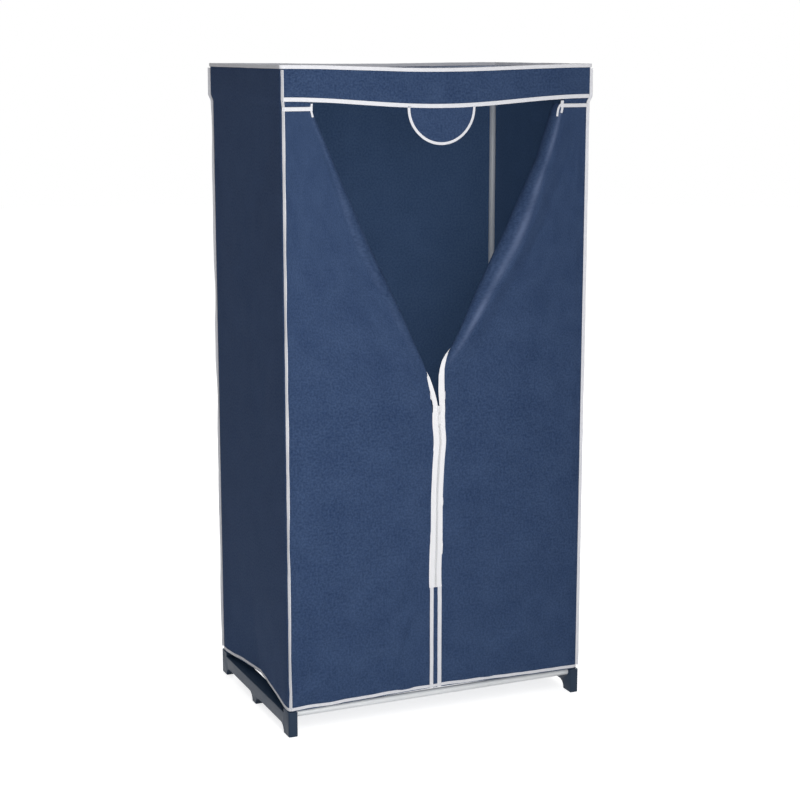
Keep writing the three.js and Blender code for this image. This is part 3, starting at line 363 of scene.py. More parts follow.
sleeve = dict(width=377.3, depth=242.3, radius=8.3, topWidth=380.3, topDepth=248.3, topRadius=5.3, hem=60.2,
              doorTop=1437.0, stepTop=1456.0, roof=1518.7, stand=0.4, arch=6.0, spacing=9.0,
              stepBefore=6, stepAfter=4, stepSpacing=3.5)
sag = dict(front=8.0, middle=11.0, back=3.0)
sideHem = dict(draw=24.0, kink=20.0, fade=360.0, lift=6.0, reach=212.0, power=0.85)
doorPlane = -(sleeve["depth"] + sleeve["stand"])
coverTop = sleeve["roof"] + sleeve["stand"]
seamTurn = pi / 4 - 0.01  # how far the cloth turns round a corner post before its seam
cornerTurns = [1.0, 0.75, 0.5, 0.25]  # shares of that turn, from the seam to the flat of a wall


def stepped(low, high):  # a size that changes over the step, as a function of the height
    return lambda z: mix(sleeve[low], sleeve[high], ease(z, sleeve["doorTop"], sleeve["stepTop"]))


wide = stepped("width", "topWidth")
deep = stepped("depth", "topDepth")
cornerRadius = stepped("radius", "topRadius")


def sagShape(x):
    return cos(pi * clamp(x / sleeve["topWidth"], -1, 1) / 2) ** 2


def roofSag(x, y):
    share = y / sleeve["topDepth"]
    edge = mix(sag["front"], sag["back"], (share + 1) / 2)
    return sagShape(x) * (edge + (sag["middle"] - edge) * (1 - share * share))


def frontHem(x):
    return sleeve["hem"] + sleeve["arch"] * sagShape(x)


# Columns across a wall: the share of the turn round each corner, and the run along the flat between
def wallColumns(half):
    flat = [(0.0, run) for run in spread(0, 1, sleeve["spacing"] / (2 * (sleeve[half] - sleeve["radius"])))]
    return [(-turn, 0.0) for turn in cornerTurns] + flat + [(turn, 1.0) for turn in reversed(cornerTurns)]


def wallRows(top):
    bend = spread(sleeve["doorTop"] - sleeve["stepBefore"], sleeve["stepTop"] + sleeve["stepAfter"],
                  sleeve["stepSpacing"])
    low, high = spread(sleeve["hem"], bend[0], sleeve["spacing"]), spread(bend[-1], top, sleeve["spacing"])
    return low[:-1] + bend + high[1:]


# A column at a height: how far along the wall it lies and how far out, from the functions that size the cover
def wallPoint(column, z, along, out):
    turn, run = column
    radius = cornerRadius(z)
    flat = along(z) - radius
    ring = radius + sleeve["stand"]
    angle = turn * seamTurn
    return mix(-flat, flat, run) + ring * sin(angle), out(z) - radius + ring * cos(angle)


def sideTent(y):
    end = -sideHem["reach"] if y < sideHem["kink"] else sideHem["reach"]
    return clamp((y - end) / (sideHem["kink"] - end))


def sideDraw(y, z):
    fade = clamp(1 - (z - sleeve["hem"]) / sideHem["fade"])
    return sideHem["draw"] * sideTent(y) ** sideHem["power"] * fade * fade


wallFold = 1.5  # raises the folds of the side and back walls over the heights in their tables

sideFolds = [  # y and z of both ends, half width, height
    (-190, 90, -60, 250, 26, 2.2), (150, 80, 60, 300, 24, -2.0), (-150, 980, -40, 1180, 60, 1.6),
    (60, 640, 170, 900, 50, -1.6), (-120, 420, 40, 560, 40, 1.4), (-180, 1390, 180, 1405, 22, -1.2),
]


def makeSide(side, name):
    columns = wallColumns("depth")
    rows = wallRows(coverTop)

    def place(column, row):
        y, x = wallPoint(column, row, deep, wide)
        x -= sideDraw(y, row)
        up = (row - sleeve["hem"]) / (coverTop - sleeve["hem"])
        inside = sin(pi * column[1]) ** 0.5 * sin(pi * clamp(up))
        x += inside * (wallFold * creases(y * side, row, sideFolds) + waves(y, row, (1.6, 110, 3 + side), (0.7, 42, 6)))
        return side * x, y, row + sideHem["lift"] * sideTent(y) * (1 - up)

    piece = layCloth("side_panel_" + name, columns, rows, place, flip=side < 0)
    dress(piece, "cloth", "cover_side_" + name)


backBelly = 3.2  # how far the back hangs out
backFolds = [  # x and z of both ends, half width, height
    (-260, 180, -120, 620, 50, 2.4), (200, 120, 120, 540, 60, 2.0), (-80, 760, 140, 1180, 70, 2.6),
    (-300, 1100, -180, 1380, 50, 1.8), (260, 900, 300, 1300, 46, 1.6),
]


def makeBack():
    columns = wallColumns("width")
    top = coverTop - sag["back"]
    rows = wallRows(top)

    def place(column, row):
        x, y = wallPoint(column, row, wide, deep)
        up = (row - sleeve["hem"]) / (top - sleeve["hem"])
        inside = sin(pi * column[1]) * sin(pi * clamp(up))
        y += inside * (backBelly + wallFold * creases(x, row, backFolds) + waves(x, row, (2.0, 120, 9), (0.8, 46, 12)))
        return x, y, row + (coverTop - roofSag(x, sleeve["topDepth"]) - top) * ease(up, 0.9, 1)

    piece = layCloth("back_panel", columns, rows, place, flip=True)
    dress(piece, "cloth", "cover_back")


roof = dict(inset=0.3, dip=2.0, spacing=10)


def makeRoof():
    def place(x, y):
        edge = (1 - (x / sleeve["topWidth"]) ** 2) * (1 - (y / sleeve["topDepth"]) ** 2)
        return x, y, sleeve["roof"] - roofSag(x, y) - roof["dip"] * edge * (1 + drift(x, y, 90, 21))

    halves = [sleeve["topWidth"] - roof["inset"], sleeve["topDepth"] - roof["inset"]]
    columns, rows = (spread(-half, half, roof["spacing"]) for half in halves)
    piece = layCloth("roof_panel", columns, rows, place)
    dress(piece, "cloth", "cover_roof")


for side, name in hand.items():
    makeSide(side, name)
makeBack()
makeRoof()
print("walls and roof made")


# Front: each half of the door is fixed along its post and turns round the fold. The flap goes on from the back of the
# fold and lies behind the fixed part. The fold is half of a cone, whose point is at the foot of the opening.

door = dict(vertex=751.0, clothEdge=15.0, flareRise=20.0, openingHalf=304.0, openingTop=1431.0, rollStart=39.8,
            rollSteps=16, frontTurn=0.68, overlap=0.06, behindSteps=8, flapSteps=26, spacing=7.0, fixedWidth=350,
            topDrop=0.8, cornerReach=370.3, cornerGap=0.4, cornerShare=0.62, rollWave=1.2, tuck=1.2)
swell = dict(height=0.42, reach=56.0, foot=(795, 900), head=(1360, 1422))  # foot and head: heights where it fades
flare = atan(door["flareRise"] / (sleeve["doorTop"] - door["vertex"]))
lean = atan(door["openingHalf"] / (door["openingTop"] - door["vertex"])) + flare
coneAxis = Vector((sin(lean) * cos(flare), sin(flare), cos(lean) * cos(flare)))
coneFront = Vector((sin(lean) * sin(flare), -cos(flare), cos(lean) * sin(flare)))
coneIn = Vector((-cos(lean), 0, sin(lean)))
vertexPoint = Vector((0, doorPlane, door["vertex"]))
flapEdge = door["clothEdge"] + 1
flapTop = sleeve["doorTop"] - 0.4

# Height, and how far the ridge of the fold lies from the opening's edge there
ridge = [(751, 3), (800, 9), (900, 20), (1010, 31), (1120, 37), (1180, 34), (1290, 17), (1390, 12), (1437, 9)]

openingEdge = {  # height, and half of the opening's width there
    -1: [(751, 3), (775, 10), (798, 21), (818, 28), (833, 31), (870, 47), (986, 101), (1132, 174), (1290, 245),
         (1437, 309)],
    1: [(751, 6), (786, 9), (809, 11), (838, 12), (855, 16), (885, 33), (914, 50), (1016, 101), (1140, 169),
        (1310, 258), (1437, 305)],
}

frontFolds = {  # x and z of both ends, half width, height outwards
    -1: [(-134, 105, -80, 262, 16, 3.4), (-120, 262, -60, 420, 22, 2.0), (-238, 262, -116, 381, 18, 2.6),
         (-350, 100, -268, 140, 16, 2.6), (-300, 700, -180, 900, 60, 2.2), (-330, 1100, -255, 1400, 40, 2.6),
         (-60, 470, -50, 640, 26, 1.6), (-180, 500, -90, 760, 46, 1.8)],
    1: [(25, 430, 98, 484, 14, 3.0), (100, 330, 228, 340, 18, 2.6), (34, 797, 60, 766, 9, 2.4),
        (150, 110, 260, 220, 30, 2.0), (120, 620, 250, 760, 50, 2.2), (250, 300, 330, 560, 46, 2.0),
        (180, 900, 300, 1180, 50, 2.4), (60, 180, 70, 300, 22, 1.6)],
}

# How loose the fixed front is: its billow, its folds, and slack in lines towards the opening's foot, with their
# direction, length and width
loose = dict(inset=6, billow=3.0, billowStart=0.08, fold=1.4, rest=1.4, slack=2.4, slackWay=(0.73, 0.68), slackLong=300,
             slackWide=46)


def frontRise(side, x, z):  # how far the fixed front stands out
    across = clamp(1 - abs(x) / (sleeve["width"] - loose["inset"]))
    up = clamp((z - sleeve["hem"]) / (sleeve["doorTop"] - sleeve["hem"]))
    billow = loose["billow"] * sin(pi * min(1, loose["billowStart"] + across)) * sin(pi * up)
    a, b = loose["slackWay"]
    along, over = (a * x - b * side * z) / loose["slackLong"], (b * side * x + a * z) / loose["slackWide"]
    slack = loose["slack"] * noise.noise(Vector((along, 7 + side, over)))
    wander = waves(x, z, (1.3, 95, 5 + side), (0.5, 38, 15 + side)) + slack
    hold = ease(across, 0, 0.06) * ease(up, 0, 0.03) * ease(1 - up, 0.006, 0.05)
    return max(0.0, (billow + loose["fold"] * creases(x, z, frontFolds[side]) + wander + loose["rest"]) * hold)


waver = dict(top=738, fade=50, bow=3.6, bowAt=668, bowHalf=34, tilt=6.4, tiltTop=735, tiltReach=380, ripple=0.8,
             rippleSize=31, rippleFoot=(300, 340))


def zipDrift(z):  # the zip bows to the right below the slider, then leans to the left, and wavers a little
    bow = waver["bow"] * exp(-((z - waver["bowAt"]) / waver["bowHalf"]) ** 2)
    tilt = waver["tilt"] * ease(waver["tiltTop"] - z, 0, waver["tiltReach"])
    ripple = waver["ripple"] * sin(z / waver["rippleSize"]) * ease(z, *waver["rippleFoot"])
    return ease(waver["top"] - z, 0, waver["fade"]) * (bow - tilt + ripple)


def swellAt(z):  # how far the ridge of the fold stands out
    return swell["height"] * curve(ridge, z) * ease(z, *swell["foot"]) * (1 - ease(z, *swell["head"]))


def topReach(angle):
    radial = coneFront * cos(angle) + coneIn * sin(angle)
    height = sleeve["doorTop"] - door["vertex"] - door["topDrop"] * (1 - cos(angle))
    return height / (coneAxis.z + tan(flare) * radial.z)


def conePoint(share, angle):
    reach = mix(door["rollStart"], topReach(angle), share)
    radial = coneFront * cos(angle) + coneIn * sin(angle)
    return vertexPoint + coneAxis * reach + radial * reach * tan(flare), reach * sin(flare)


def rollPoint(side, share, angle):  # round the cone, softened so that the silhouette follows the opening's edge
    spot, radius = conePoint(share, angle)
    edge = curve(openingEdge[side], spot.z)
    axisX = tan(lean) * (spot.z - door["vertex"])
    turn = sin(angle)
    if angle <= pi / 2:
        shift = edge + curve(ridge, spot.z) * (1 - turn) - (axisX - radius * cos(lean) * turn)
        spot.y -= swellAt(spot.z) * cos(angle)
    else:
        shift = (edge - axisX + radius * cos(lean)) * turn
    return Vector((spot.x + shift, spot.y, spot.z))


def foldBack(point):  # half a turn about the axis of the fold
    away = point - vertexPoint
    return 2 * coneAxis.dot(away) * coneAxis - away + vertexPoint


def sided(side, point):  # from the right side to the given one, or back
    return Vector((side * point.x, point.y, point.z))


def meetLines(p, d, q, e):
    across = Vector((-e.y, e.x))
    return p + d * ((q - p).dot(across) / d.dot(across))


acrossCorner = Vector((2 * coneAxis.x ** 2 - 1, 2 * coneAxis.x * coneAxis.z))
cornerFrom = Vector((0, door["vertex"])) + acrossCorner * (door["cornerReach"] / acrossCorner.length_squared)
cornerAlong = Vector((-acrossCorner.y, acrossCorner.x)).normalized()


def cornerCross(x=None, z=None, shift=0.0):  # where the corner line meets an upright or a level line of the closed door
    start = cornerFrom + acrossCorner.normalized() * shift
    if x is not None:
        return meetLines(start, cornerAlong, Vector((x, 0)), Vector((0, 1)))
    return meetLines(start, cornerAlong, Vector((0, z)), Vector((1, 0)))


def flapEnd(share):  # along the zip edge up to the corner line, then along the corner line to the top
    low = Vector((flapEdge, door["vertex"] + flapEdge / tan(lean)))
    turn = cornerCross(x=flapEdge, shift=-door["cornerGap"])
    top = cornerCross(z=flapTop, shift=-door["cornerGap"])
    at = door["cornerShare"]
    return low.lerp(turn, share / at) if share < at else turn.lerp(top, (share - at) / (1 - at))


# The painted highlight that pales the ridge of the fold: how much on each side, where it lies as a share of the ridge,
# and how wide it is
highlightBand = dict(left=0.1, right=0.55, at=0.8, width=0.2, least=2, foot=(820, 960), patch=70)


def makeHalfDoor(side, name):
    front = [("turn", turn) for turn in cornerTurns]
    front += [("run", run) for run in spread(0, 1, door["spacing"] / door["fixedWidth"])]
    front += [("roll", i * door["frontTurn"] / door["rollSteps"]) for i in range(1, door["rollSteps"] + 1)]
    backTurn = door["frontTurn"] - door["overlap"]
    behind = [("roll", mix(backTurn, 1, i / door["behindSteps"])) for i in range(door["behindSteps"] + 1)]
    behind += [("flap", i / door["flapSteps"]) for i in range(1, door["flapSteps"] + 1)]
    foldLevel = conePoint(0, 0)[0].z
    low = [("low", z) for z in spread(0, 1, door["spacing"] / (foldLevel - sleeve["hem"]))]
    high = [("high", share) for share in spread(0, 1, door["spacing"] / (sleeve["doorTop"] - foldLevel))][1:]

    def place(column, row):
        kind, at = column
        zone, share = row
        if zone == "low":
            level = None
            height = foldLevel
            edge = mix(door["clothEdge"], rollPoint(side, 0, 0).x, ease(share, 0.9, 1))
            edge += side * zipDrift(mix(sleeve["hem"], foldLevel, share))
        else:
            start = rollPoint(side, share, 0)
            level = height = start.z
            edge = start.x
        if kind == "turn":
            x, y = wallPoint((at, 1), height, wide, deep)
            return side * x, -y, level or mix(frontHem(x), foldLevel, share)
        if kind == "run" or zone == "low":
            x = mix(wide(height) - cornerRadius(height), edge, at if kind == "run" else 1)
            z = level or mix(frontHem(x), foldLevel, share)
            calm = ease(x - edge, 0, 14) if zone == "high" else ease(x - edge, -8, 10)
            rise = frontRise(side, side * x, z) * calm
            if zone == "high":
                rise += swellAt(z) * (1 - ease(x - edge, 0, swell["reach"]))
            return side * x, doorPlane - rise, z
        if kind == "roll":
            spot = rollPoint(side, share, pi * at)
            wave = waves(spot.x, spot.z, (door["rollWave"], 70, 31 + side)) * sin(pi * at)
            spot.x += wave * ease(share, 0, 0.2)
            return sided(side, spot)
        reach = mix(door["rollStart"], topReach(pi), share) / cos(flare)
        start = Vector((sin(lean) * reach, door["vertex"] + cos(lean) * reach))
        flat = start.lerp(flapEnd(share), at)
        return sided(side, foldBack(Vector((flat.x, doorPlane, flat.y))))

    # Painted highlight: a paler colour along the ridge of the fold, much stronger on the right half than on the left
    def highlightAt(column, row):
        x, y, z = place(column, row)
        kind, at = column
        if row[0] == "low" or kind in ("turn", "flap") or (kind == "roll" and at > 0.5):
            return 0.0
        soft = curve(ridge, z)
        away = abs(x) - curve(openingEdge[side], z) - highlightBand["at"] * soft
        band = exp(-(away / (highlightBand["width"] * soft + highlightBand["least"])) ** 2) * ease(z, *highlightBand["foot"])
        return highlightBand[name] * band * (0.8 + 0.8 * drift(x, z, highlightBand["patch"], 23))

    def placeBehind(column, row):  # its start is tucked inside the end of the fixed part
        x, y, z = place(column, row)
        tuck = door["tuck"] * (1 - ease(column[1], door["frontTurn"] - 0.02, 0.8)) if column[0] == "roll" else 0
        return x + side * tuck, y - tuck / 2, z

    piece = layCloth("half_door_" + name, front, low + high, place, highlightAt=highlightAt, flip=side > 0)
    dress(piece, "cloth", "cover_front_" + name, "fold_roll_" + name)
    flap = layCloth("door_flap_" + name, behind, high, placeBehind, flip=side > 0)
    dress(flap, "cloth", "flap_" + name, body="flap_" + name)


# The corner of each flap turns at the post and lies along the side wall
def turnCorner(point, side):
    footFlat = Vector((cornerFrom.x, doorPlane, cornerFrom.y))
    foot = foldBack(footFlat)
    axis = foldBack(footFlat + Vector((cornerAlong.x, 0, cornerAlong.y))) - foot
    axis = axis if axis.z > 0 else -axis
    normal = foldBack(vertexPoint + outward) - vertexPoint
    flatWay = axis.cross(normal)
    flatWay = flatWay if flatWay.x > 0 else -flatWay
    sideWay = axis.cross(Vector((1, 0, 0)))
    turn = Matrix.Rotation(flatWay.angle(sideWay), 4, axis)
    return sided(side, turn @ (foldBack(point) - foot) + foot)


def makeCorner(side, name):
    bottom = cornerCross(x=flapEdge, shift=door["cornerGap"])
    top = cornerCross(z=flapTop, shift=door["cornerGap"])
    tip = Vector((flapEdge, flapTop))

    def place(column, row):
        flat = bottom.lerp(top, row).lerp(bottom.lerp(tip, row), column)
        return turnCorner(Vector((flat.x, doorPlane, flat.y)), side)

    piece = layCloth("flap_corner_cloth_" + name, spread(0, 1, 0.04), spread(0, 1, 0.035), place, flip=side > 0)
    dress(piece, "cloth", "flap_corner_" + name, body="flap_corner_" + name)


for side, name in hand.items():
    makeHalfDoor(side, name)
    makeCorner(side, name)
print("half doors made")


# Headers: the corners of cloth beside the opening, behind the valance

header = dict(reach=311.0, low=1437.3, bendTop=1462, bendSpacing=3, spacing=9, across=0.1)


def makeHeader(side, name):
    columns = [("turn", turn) for turn in cornerTurns] + [("run", run) for run in spread(0, 1, header["across"])]
    rows = spread(header["low"], header["bendTop"], header["bendSpacing"])
    rows += spread(header["bendTop"], coverTop - 1, header["spacing"])[1:]

    def place(column, row):
        kind, at = column
        x, y = wallPoint((at if kind == "turn" else 0, 1), row, wide, deep)
        return side * (mix(x, header["reach"], at) if kind == "run" else x), -y, row

    piece = layCloth("header_cloth_" + name, columns, rows, place, flip=side > 0)
    dress(piece, "cloth", "header_" + name)


# Valance and its half-round tab

valance = dict(half=377.0, endLow=1449.0, middleLow=1431.0, plane=-249.8, bulge=6.0, spacing=8.0, top=1516.0)
tab = dict(half=79.0, drop=77.0, centre=-2.0, top=1426.4, trim=6.0, hem=0.6, curl=2.2, widen=0.055)

valanceFolds = [  # x and z of both ends, half width, height outwards
    (-300, 1500, -240, 1450, 20, 0.8), (-120, 1495, -60, 1440, 26, 0.9), (160, 1500, 220, 1450, 24, 0.8),
    (300, 1505, 340, 1450, 18, 0.8),
]


def valanceLow(x):
    return mix(valance["endLow"], valance["middleLow"], sagShape(x))


def valanceY(x, z):
    low = valanceLow(x)
    ring = valance["top"] - roofSag(x, -sleeve["topDepth"])
    hang = clamp((ring - z) / (ring - low))
    return valance["plane"] - valance["bulge"] * sagShape(x) * hang * hang


def makeValance():
    def place(x, share):
        z = mix(valanceLow(x), coverTop - roofSag(x, -sleeve["topDepth"]), share)
        wave = (creases(x, z, valanceFolds) + waves(x, z, (0.8, 60, 51))) * ease(1 - share, 0, 0.5)
        return x, valanceY(x, z) - max(-0.2, wave) * 0.6, z

    columns = spread(-valance["half"], valance["half"], valance["spacing"])
    piece = layCloth("valance_cloth", columns, spread(0, 1, 0.09), place)
    dress(piece, "cloth", "valance")


def tabWiden(angle):  # the tab's sides lean out towards the top
    return 1 + tab["widen"] * (1 - abs(sin(angle)))


def makeTab():
    plane = valanceY(0, valance["middleLow"])

    def place(across, share):
        angle = acos(clamp(across, -1, 1))
        x = tab["centre"] + (tab["half"] - tab["hem"]) * across * tabWiden(angle)
        z = mix(tab["top"] - (tab["drop"] - tab["hem"]) * sin(angle), valanceLow(x) + 3, share)
        depth = tab["top"] - z
        curl = waves(x, depth, (0.8, 40, 61)) * depth / tab["drop"] - tab["curl"] * (depth / tab["drop"]) ** 2
        return x, plane + curl + 0.4, z

    piece = layCloth("valance_tab_cloth", spread(-1, 1, 0.06), spread(0, 1, 0.08), place)
    dress(piece, "cloth", "valance_tab", body="valance_tab")


for side, name in hand.items():
    makeHeader(side, name)
makeValance()
makeTab()
print("headers, valance and tab made")


# Placket: the strip of cloth that closes the front below the zip

placket = dict(half=5.6, top=315.0, outer=14.8, across=2.6, along=0.04)


def makePlacket():
    def place(x, share):
        z = mix(frontHem(x), placket["top"], share)
        return x + zipDrift(z), doorPlane - 0.3 - 0.5 * drift(x, z, 30, 71) ** 2, z

    columns = spread(-placket["half"], placket["half"], placket["across"])
    piece = layCloth("placket_cloth", columns, spread(0, 1, placket["along"]), place)
    dress(piece, "cloth", "placket")


makePlacket()


# Bindings: tape folded over the raw edge of each seam, with a soft round edge

binding = dict(cloth=0.45, seam=7.2, gap=0.75, spacing=12.0, legs=(0.0, 0.25, 0.5, 0.75, 0.92), bend=pi / 2.6)


# A folded tape along a path of (point, out, across): out is the way its edge looks, across its face that shows
def foldTape(name, path, width, gap):
    section = [(leg * width, 1.0) for leg in binding["legs"]]
    section += [(width + gap * (cos(a) - 0.3), sin(a)) for a in (binding["bend"], 0.0, -binding["bend"])]
    section += [(leg * width, -1.0) for leg in reversed(binding["legs"])]

    def place(column, station):
        point, out, across = station
        reach, face = column
        return point + out * reach + across * face * gap

    return layCloth(name, section, path, place, binding["cloth"], offset=-1.0, sharp=70)


def seamPath(sideX, sideY, lean, sway):
    levels = spread(sleeve["hem"] + 8, 1430, binding["spacing"]) + spread(1434, 1460, 3) + spread(1464, 1516.5, 9)
    path = []
    for z in levels:
        radius = cornerRadius(z)
        centre = Vector((sideX * (wide(z) - radius), sideY * (deep(z) - radius), z))
        turn = lean + sway * drift(z, 0, 130, 81 + sideX + 3 * sideY)
        out = Vector((sideX * sin(turn), sideY * cos(turn), 0))
        across = Vector((out.y, -out.x, 0))
        mitre = Vector((sideX, sideY, 0)).normalized() * (radius + 0.5 * drift(0, z, 42, 87 + sideX))
        path.append((centre + mitre, out, across if across.y < 0 else -across))
    return path


face = {-1: "front", 1: "back"}
seams = {  # face and side: lean towards the side in degrees, and how much it wanders
    (-1, -1): (-28, 40), (-1, 1): (60, 36), (1, -1): (52, 40), (1, 1): (45, 36),
}
for (sideY, sideX), (leaning, sway) in seams.items():
    corner = face[sideY] + "_" + hand[sideX]
    path = seamPath(sideX, sideY, radians(leaning), radians(sway))
    piece = foldTape("seam_tape_" + corner, path, binding["seam"], binding["gap"])
    dress(piece, "binding", "seam_binding_" + corner)


# A closed loop round the cover: each station has its place and the way out of the cover there
def loopStations(halfX, frontY, backY, radius, spacing):
    stations = []
    for sideX, sideY, start in [(1, -1, -90), (1, 1, 0), (-1, 1, 90), (-1, -1, 180)]:
        y = frontY if sideY < 0 else backY
        centre = Vector((sideX * (halfX - radius), y - sideY * radius, 0))
        for step in range(5):
            angle = radians(start + 90 * step / 4)
            away = Vector((cos(angle), sin(angle), 0))
            stations.append((centre + away * radius, away))
    filled = []
    for (a, away), (b, nextAway) in zip(stations, stations[1:] + stations[:1]):
        count = max(1, round((b - a).length / spacing))
        for i in range(count):
            filled.append((a.lerp(b, i / count), away.lerp(nextAway, i / count).normalized()))
    return filled + filled[:1]


crown = dict(ring=(382.1, -251.2, 250.1, 5.0, 10), height=1519.0, width=7.4, gap=0.7, inset=0.2, tilt=0.06, sway=0.12)


def topRing():
    path = []
    for point, away in loopStations(*crown["ring"]):
        z = crown["height"] - roofSag(point.x, point.y) + waves(point.x, point.y, (0.5, 60, 91))
        tilt = crown["tilt"] + crown["sway"] * drift(point.x, point.y, 80, 95)
        out = (Vector((0, 0, 1)) + away * tilt).normalized()
        path.append((Vector((point.x, point.y, z)) - away * crown["inset"], out, away))
    piece = foldTape("top_tape", path, crown["width"], crown["gap"])
    dress(piece, "binding", "top_binding")


hemTape = dict(rise=9.2, width=7.2, gap=0.85, spacing=8)


def hemRing():
    stand = sleeve["stand"]
    path = []
    for point, away in loopStations(sleeve["width"] + stand, doorPlane, sleeve["depth"] + stand,
                                    sleeve["radius"] + stand, hemTape["spacing"]):
        y = clamp(point.y, -sideHem["reach"], sideHem["reach"])
        draw = lift = 0
        if abs(away.x) > 0.7:
            draw, lift = sideDraw(y, sleeve["hem"] + 4), sideHem["lift"] * sideTent(y)
        elif point.y < 0:
            lift = frontHem(point.x) - sleeve["hem"]
        z = sleeve["hem"] + hemTape["rise"] + lift + waves(point.x, point.y, (1.6, 50, 101))
        path.append((Vector((point.x - copysign(draw, point.x), point.y, z)), Vector((0, 0, -1)), away))
    piece = foldTape("hem_tape", path, hemTape["width"], hemTape["gap"])
    dress(piece, "binding", "hem_binding")


valanceTrim = dict(inset=0.3, rise=9.2, width=8.6, gap=0.8, proud=0.1, spacing=9)


def valanceTape():
    half, rise = valance["half"] - valanceTrim["inset"], valanceTrim["rise"]
    path = []
    for x in spread(-half, half, valanceTrim["spacing"]):
        low = valanceLow(x)
        z = low + rise
        out = Vector((0, (valanceY(x, low) - valanceY(x, z)) / rise, -1)).normalized()
        path.append((Vector((x, valanceY(x, z) - valanceTrim["proud"], z)), out, outward))
    piece = foldTape("valance_tape", path, valanceTrim["width"], valanceTrim["gap"])
    dress(piece, "binding", "valance_trim")


def tabTape():
    plane = valanceY(0, valance["middleLow"])
    half, drop, steps = tab["half"] - tab["trim"], tab["drop"] - tab["trim"], 44
    ends = {end: (Vector((tab["centre"] + end * half * 1.06, plane, valance["middleLow"] + 2)), Vector((end, 0, 0)),
                  outward) for end in (-1, 1)}
    path = [ends[-1]]
    for i in range(steps + 1):
        angle = pi + pi * i / steps
        shape = Vector((cos(angle) * half * tabWiden(angle), 0, sin(angle) * drop))
        out = Vector((cos(angle) / tab["half"], 0, sin(angle) / tab["drop"])).normalized()
        curl = -tab["curl"] * (shape.z / tab["drop"]) ** 2
        path.append((Vector((tab["centre"], plane + curl, tab["top"])) + shape, out, outward))
    path.append(ends[1])
    piece = foldTape("valance_tab_tape", path, tab["trim"] - 0.4, binding["gap"])
    dress(piece, "binding", "valance_tab_trim", body="valance_tab")


# Loose ends of the header tape: width, and the four points of a bent strip as x out from the middle and height
tails = {
    -1: [(4.2, (310.5, 1438), (310.5, 1430), (308, 1423), (306.5, 1415))],
    1: [(5.0, (310.5, 1444), (309, 1434), (309.5, 1423), (306, 1416)),
        (4.4, (310, 1437), (300, 1434), (297, 1424), (295.5, 1408))],
}
tailShape = dict(steps=14, proud=2.4, slope=20, twist=0.35, cloth=0.9)


def looseEnd(side, width, *points):
    steps = tailShape["steps"]
    bends = [Vector((side * x, doorPlane - tailShape["proud"] - (sleeve["doorTop"] - z) / tailShape["slope"], z))
             for x, z in points]
    spine = geometry.interpolate_bezier(*bends, steps)

    def place(across, step):
        way = (spine[min(step + 1, steps - 1)] - spine[max(step - 1, 0)]).normalized()
        sideways = Vector((way.z, tailShape["twist"], -way.x)).normalized()
        return spine[step] + sideways * across * width / 2

    return layCloth("tape_end_" + hand[side], spread(-1, 1, 0.5), list(range(steps)), place, tailShape["cloth"])


strip = dict(outer=376.0, inner=311.5, height=1428.4, proud=0.9, width=8.0, gap=0.8, spacing=5)
turnUp = dict(at=310.6, low=1428.5, high=1444, proud=1.6, width=4.4, spacing=2.5)


# Header tape: along the top of the fixed front, turned up over the header's end, with its cut end left hanging
def headerTape(side, name):
    level = [(Vector((side * x, doorPlane - strip["proud"], strip["height"])), Vector((0, 0, 1)), outward)
             for x in spread(strip["outer"], strip["inner"], strip["spacing"])]
    up = [(Vector((side * turnUp["at"], -(deep(z) + turnUp["proud"]), z)), Vector((-side, 0, 0)), outward)
          for z in spread(turnUp["low"], turnUp["high"], turnUp["spacing"])]
    pieces = [foldTape("header_tape_" + name, level, strip["width"], strip["gap"]),
              foldTape("header_rise_" + name, up, turnUp["width"], strip["gap"])]
    joinAll(pieces + [looseEnd(side, *tail) for tail in tails[side]])
    dress(pieces[0], "binding", "header_binding_" + name)


def placketTape(side, name):
    path = []
    for share in spread(0, 1, placket["along"]):
        z = mix(frontHem(12) + 0.5, placket["top"], share)
        x = side * placket["outer"] + zipDrift(z) + waves(0, z, (0.4, 40, 121 + side))
        path.append((Vector((x, doorPlane - 0.6, z)), Vector((-side, 0, 0)), outward))
    piece = foldTape("placket_tape_" + name, path, placket["outer"] - placket["half"] - 0.4, 0.8)
    dress(piece, "binding", "placket_binding_" + name)


topRing()
hemRing()
valanceTape()
tabTape()
for side, name in hand.items():
    headerTape(side, name)
    placketTape(side, name)
print("bindings made")


# Zip tapes: flat up to the split, splayed at the start of the opening, and along each flap, with the coil on them

zipper = dict(under=0.4, outer=15.6, low=315.0, split=736, cloth=0.5, proud=0.5, lipProud=0.9, across=2.6, along=8,
              lipAlong=3, flapAlong=0.015, cornerAlong=0.03)
splay = {  # height, inner edge, outer edge, and how deep each lies behind the front
    -1: [(736, 0.4, 15.4, 0, 0), (745, 0.6, 15.4, 0, 0), (751, 3.0, 15.4, 0, 0), (775, 8.6, 20.0, 0, 0),
         (798, 16, 26, 0, 0.2), (818, 23, 30, 1.5, 1), (833, 30, 34, 5, 3), (846, 40, 44, 8, 7)],
    1: [(736, 0.4, 15.4, 0, 0), (745, 0.6, 15.3, 0, 0), (751, 1.0, 15.0, 0, 0), (786, -1.8, 14.0, 0, 0),
        (809, -1.4, 13.0, 0, 0), (822, -0.8, 13.0, 0.5, 0), (838, 2.6, 13.5, 2, 0.2), (855, 8.6, 17.0, 4, 0.6),
        (870, 19, 26, 6, 2), (885, 34, 39, 9, 6)],
}


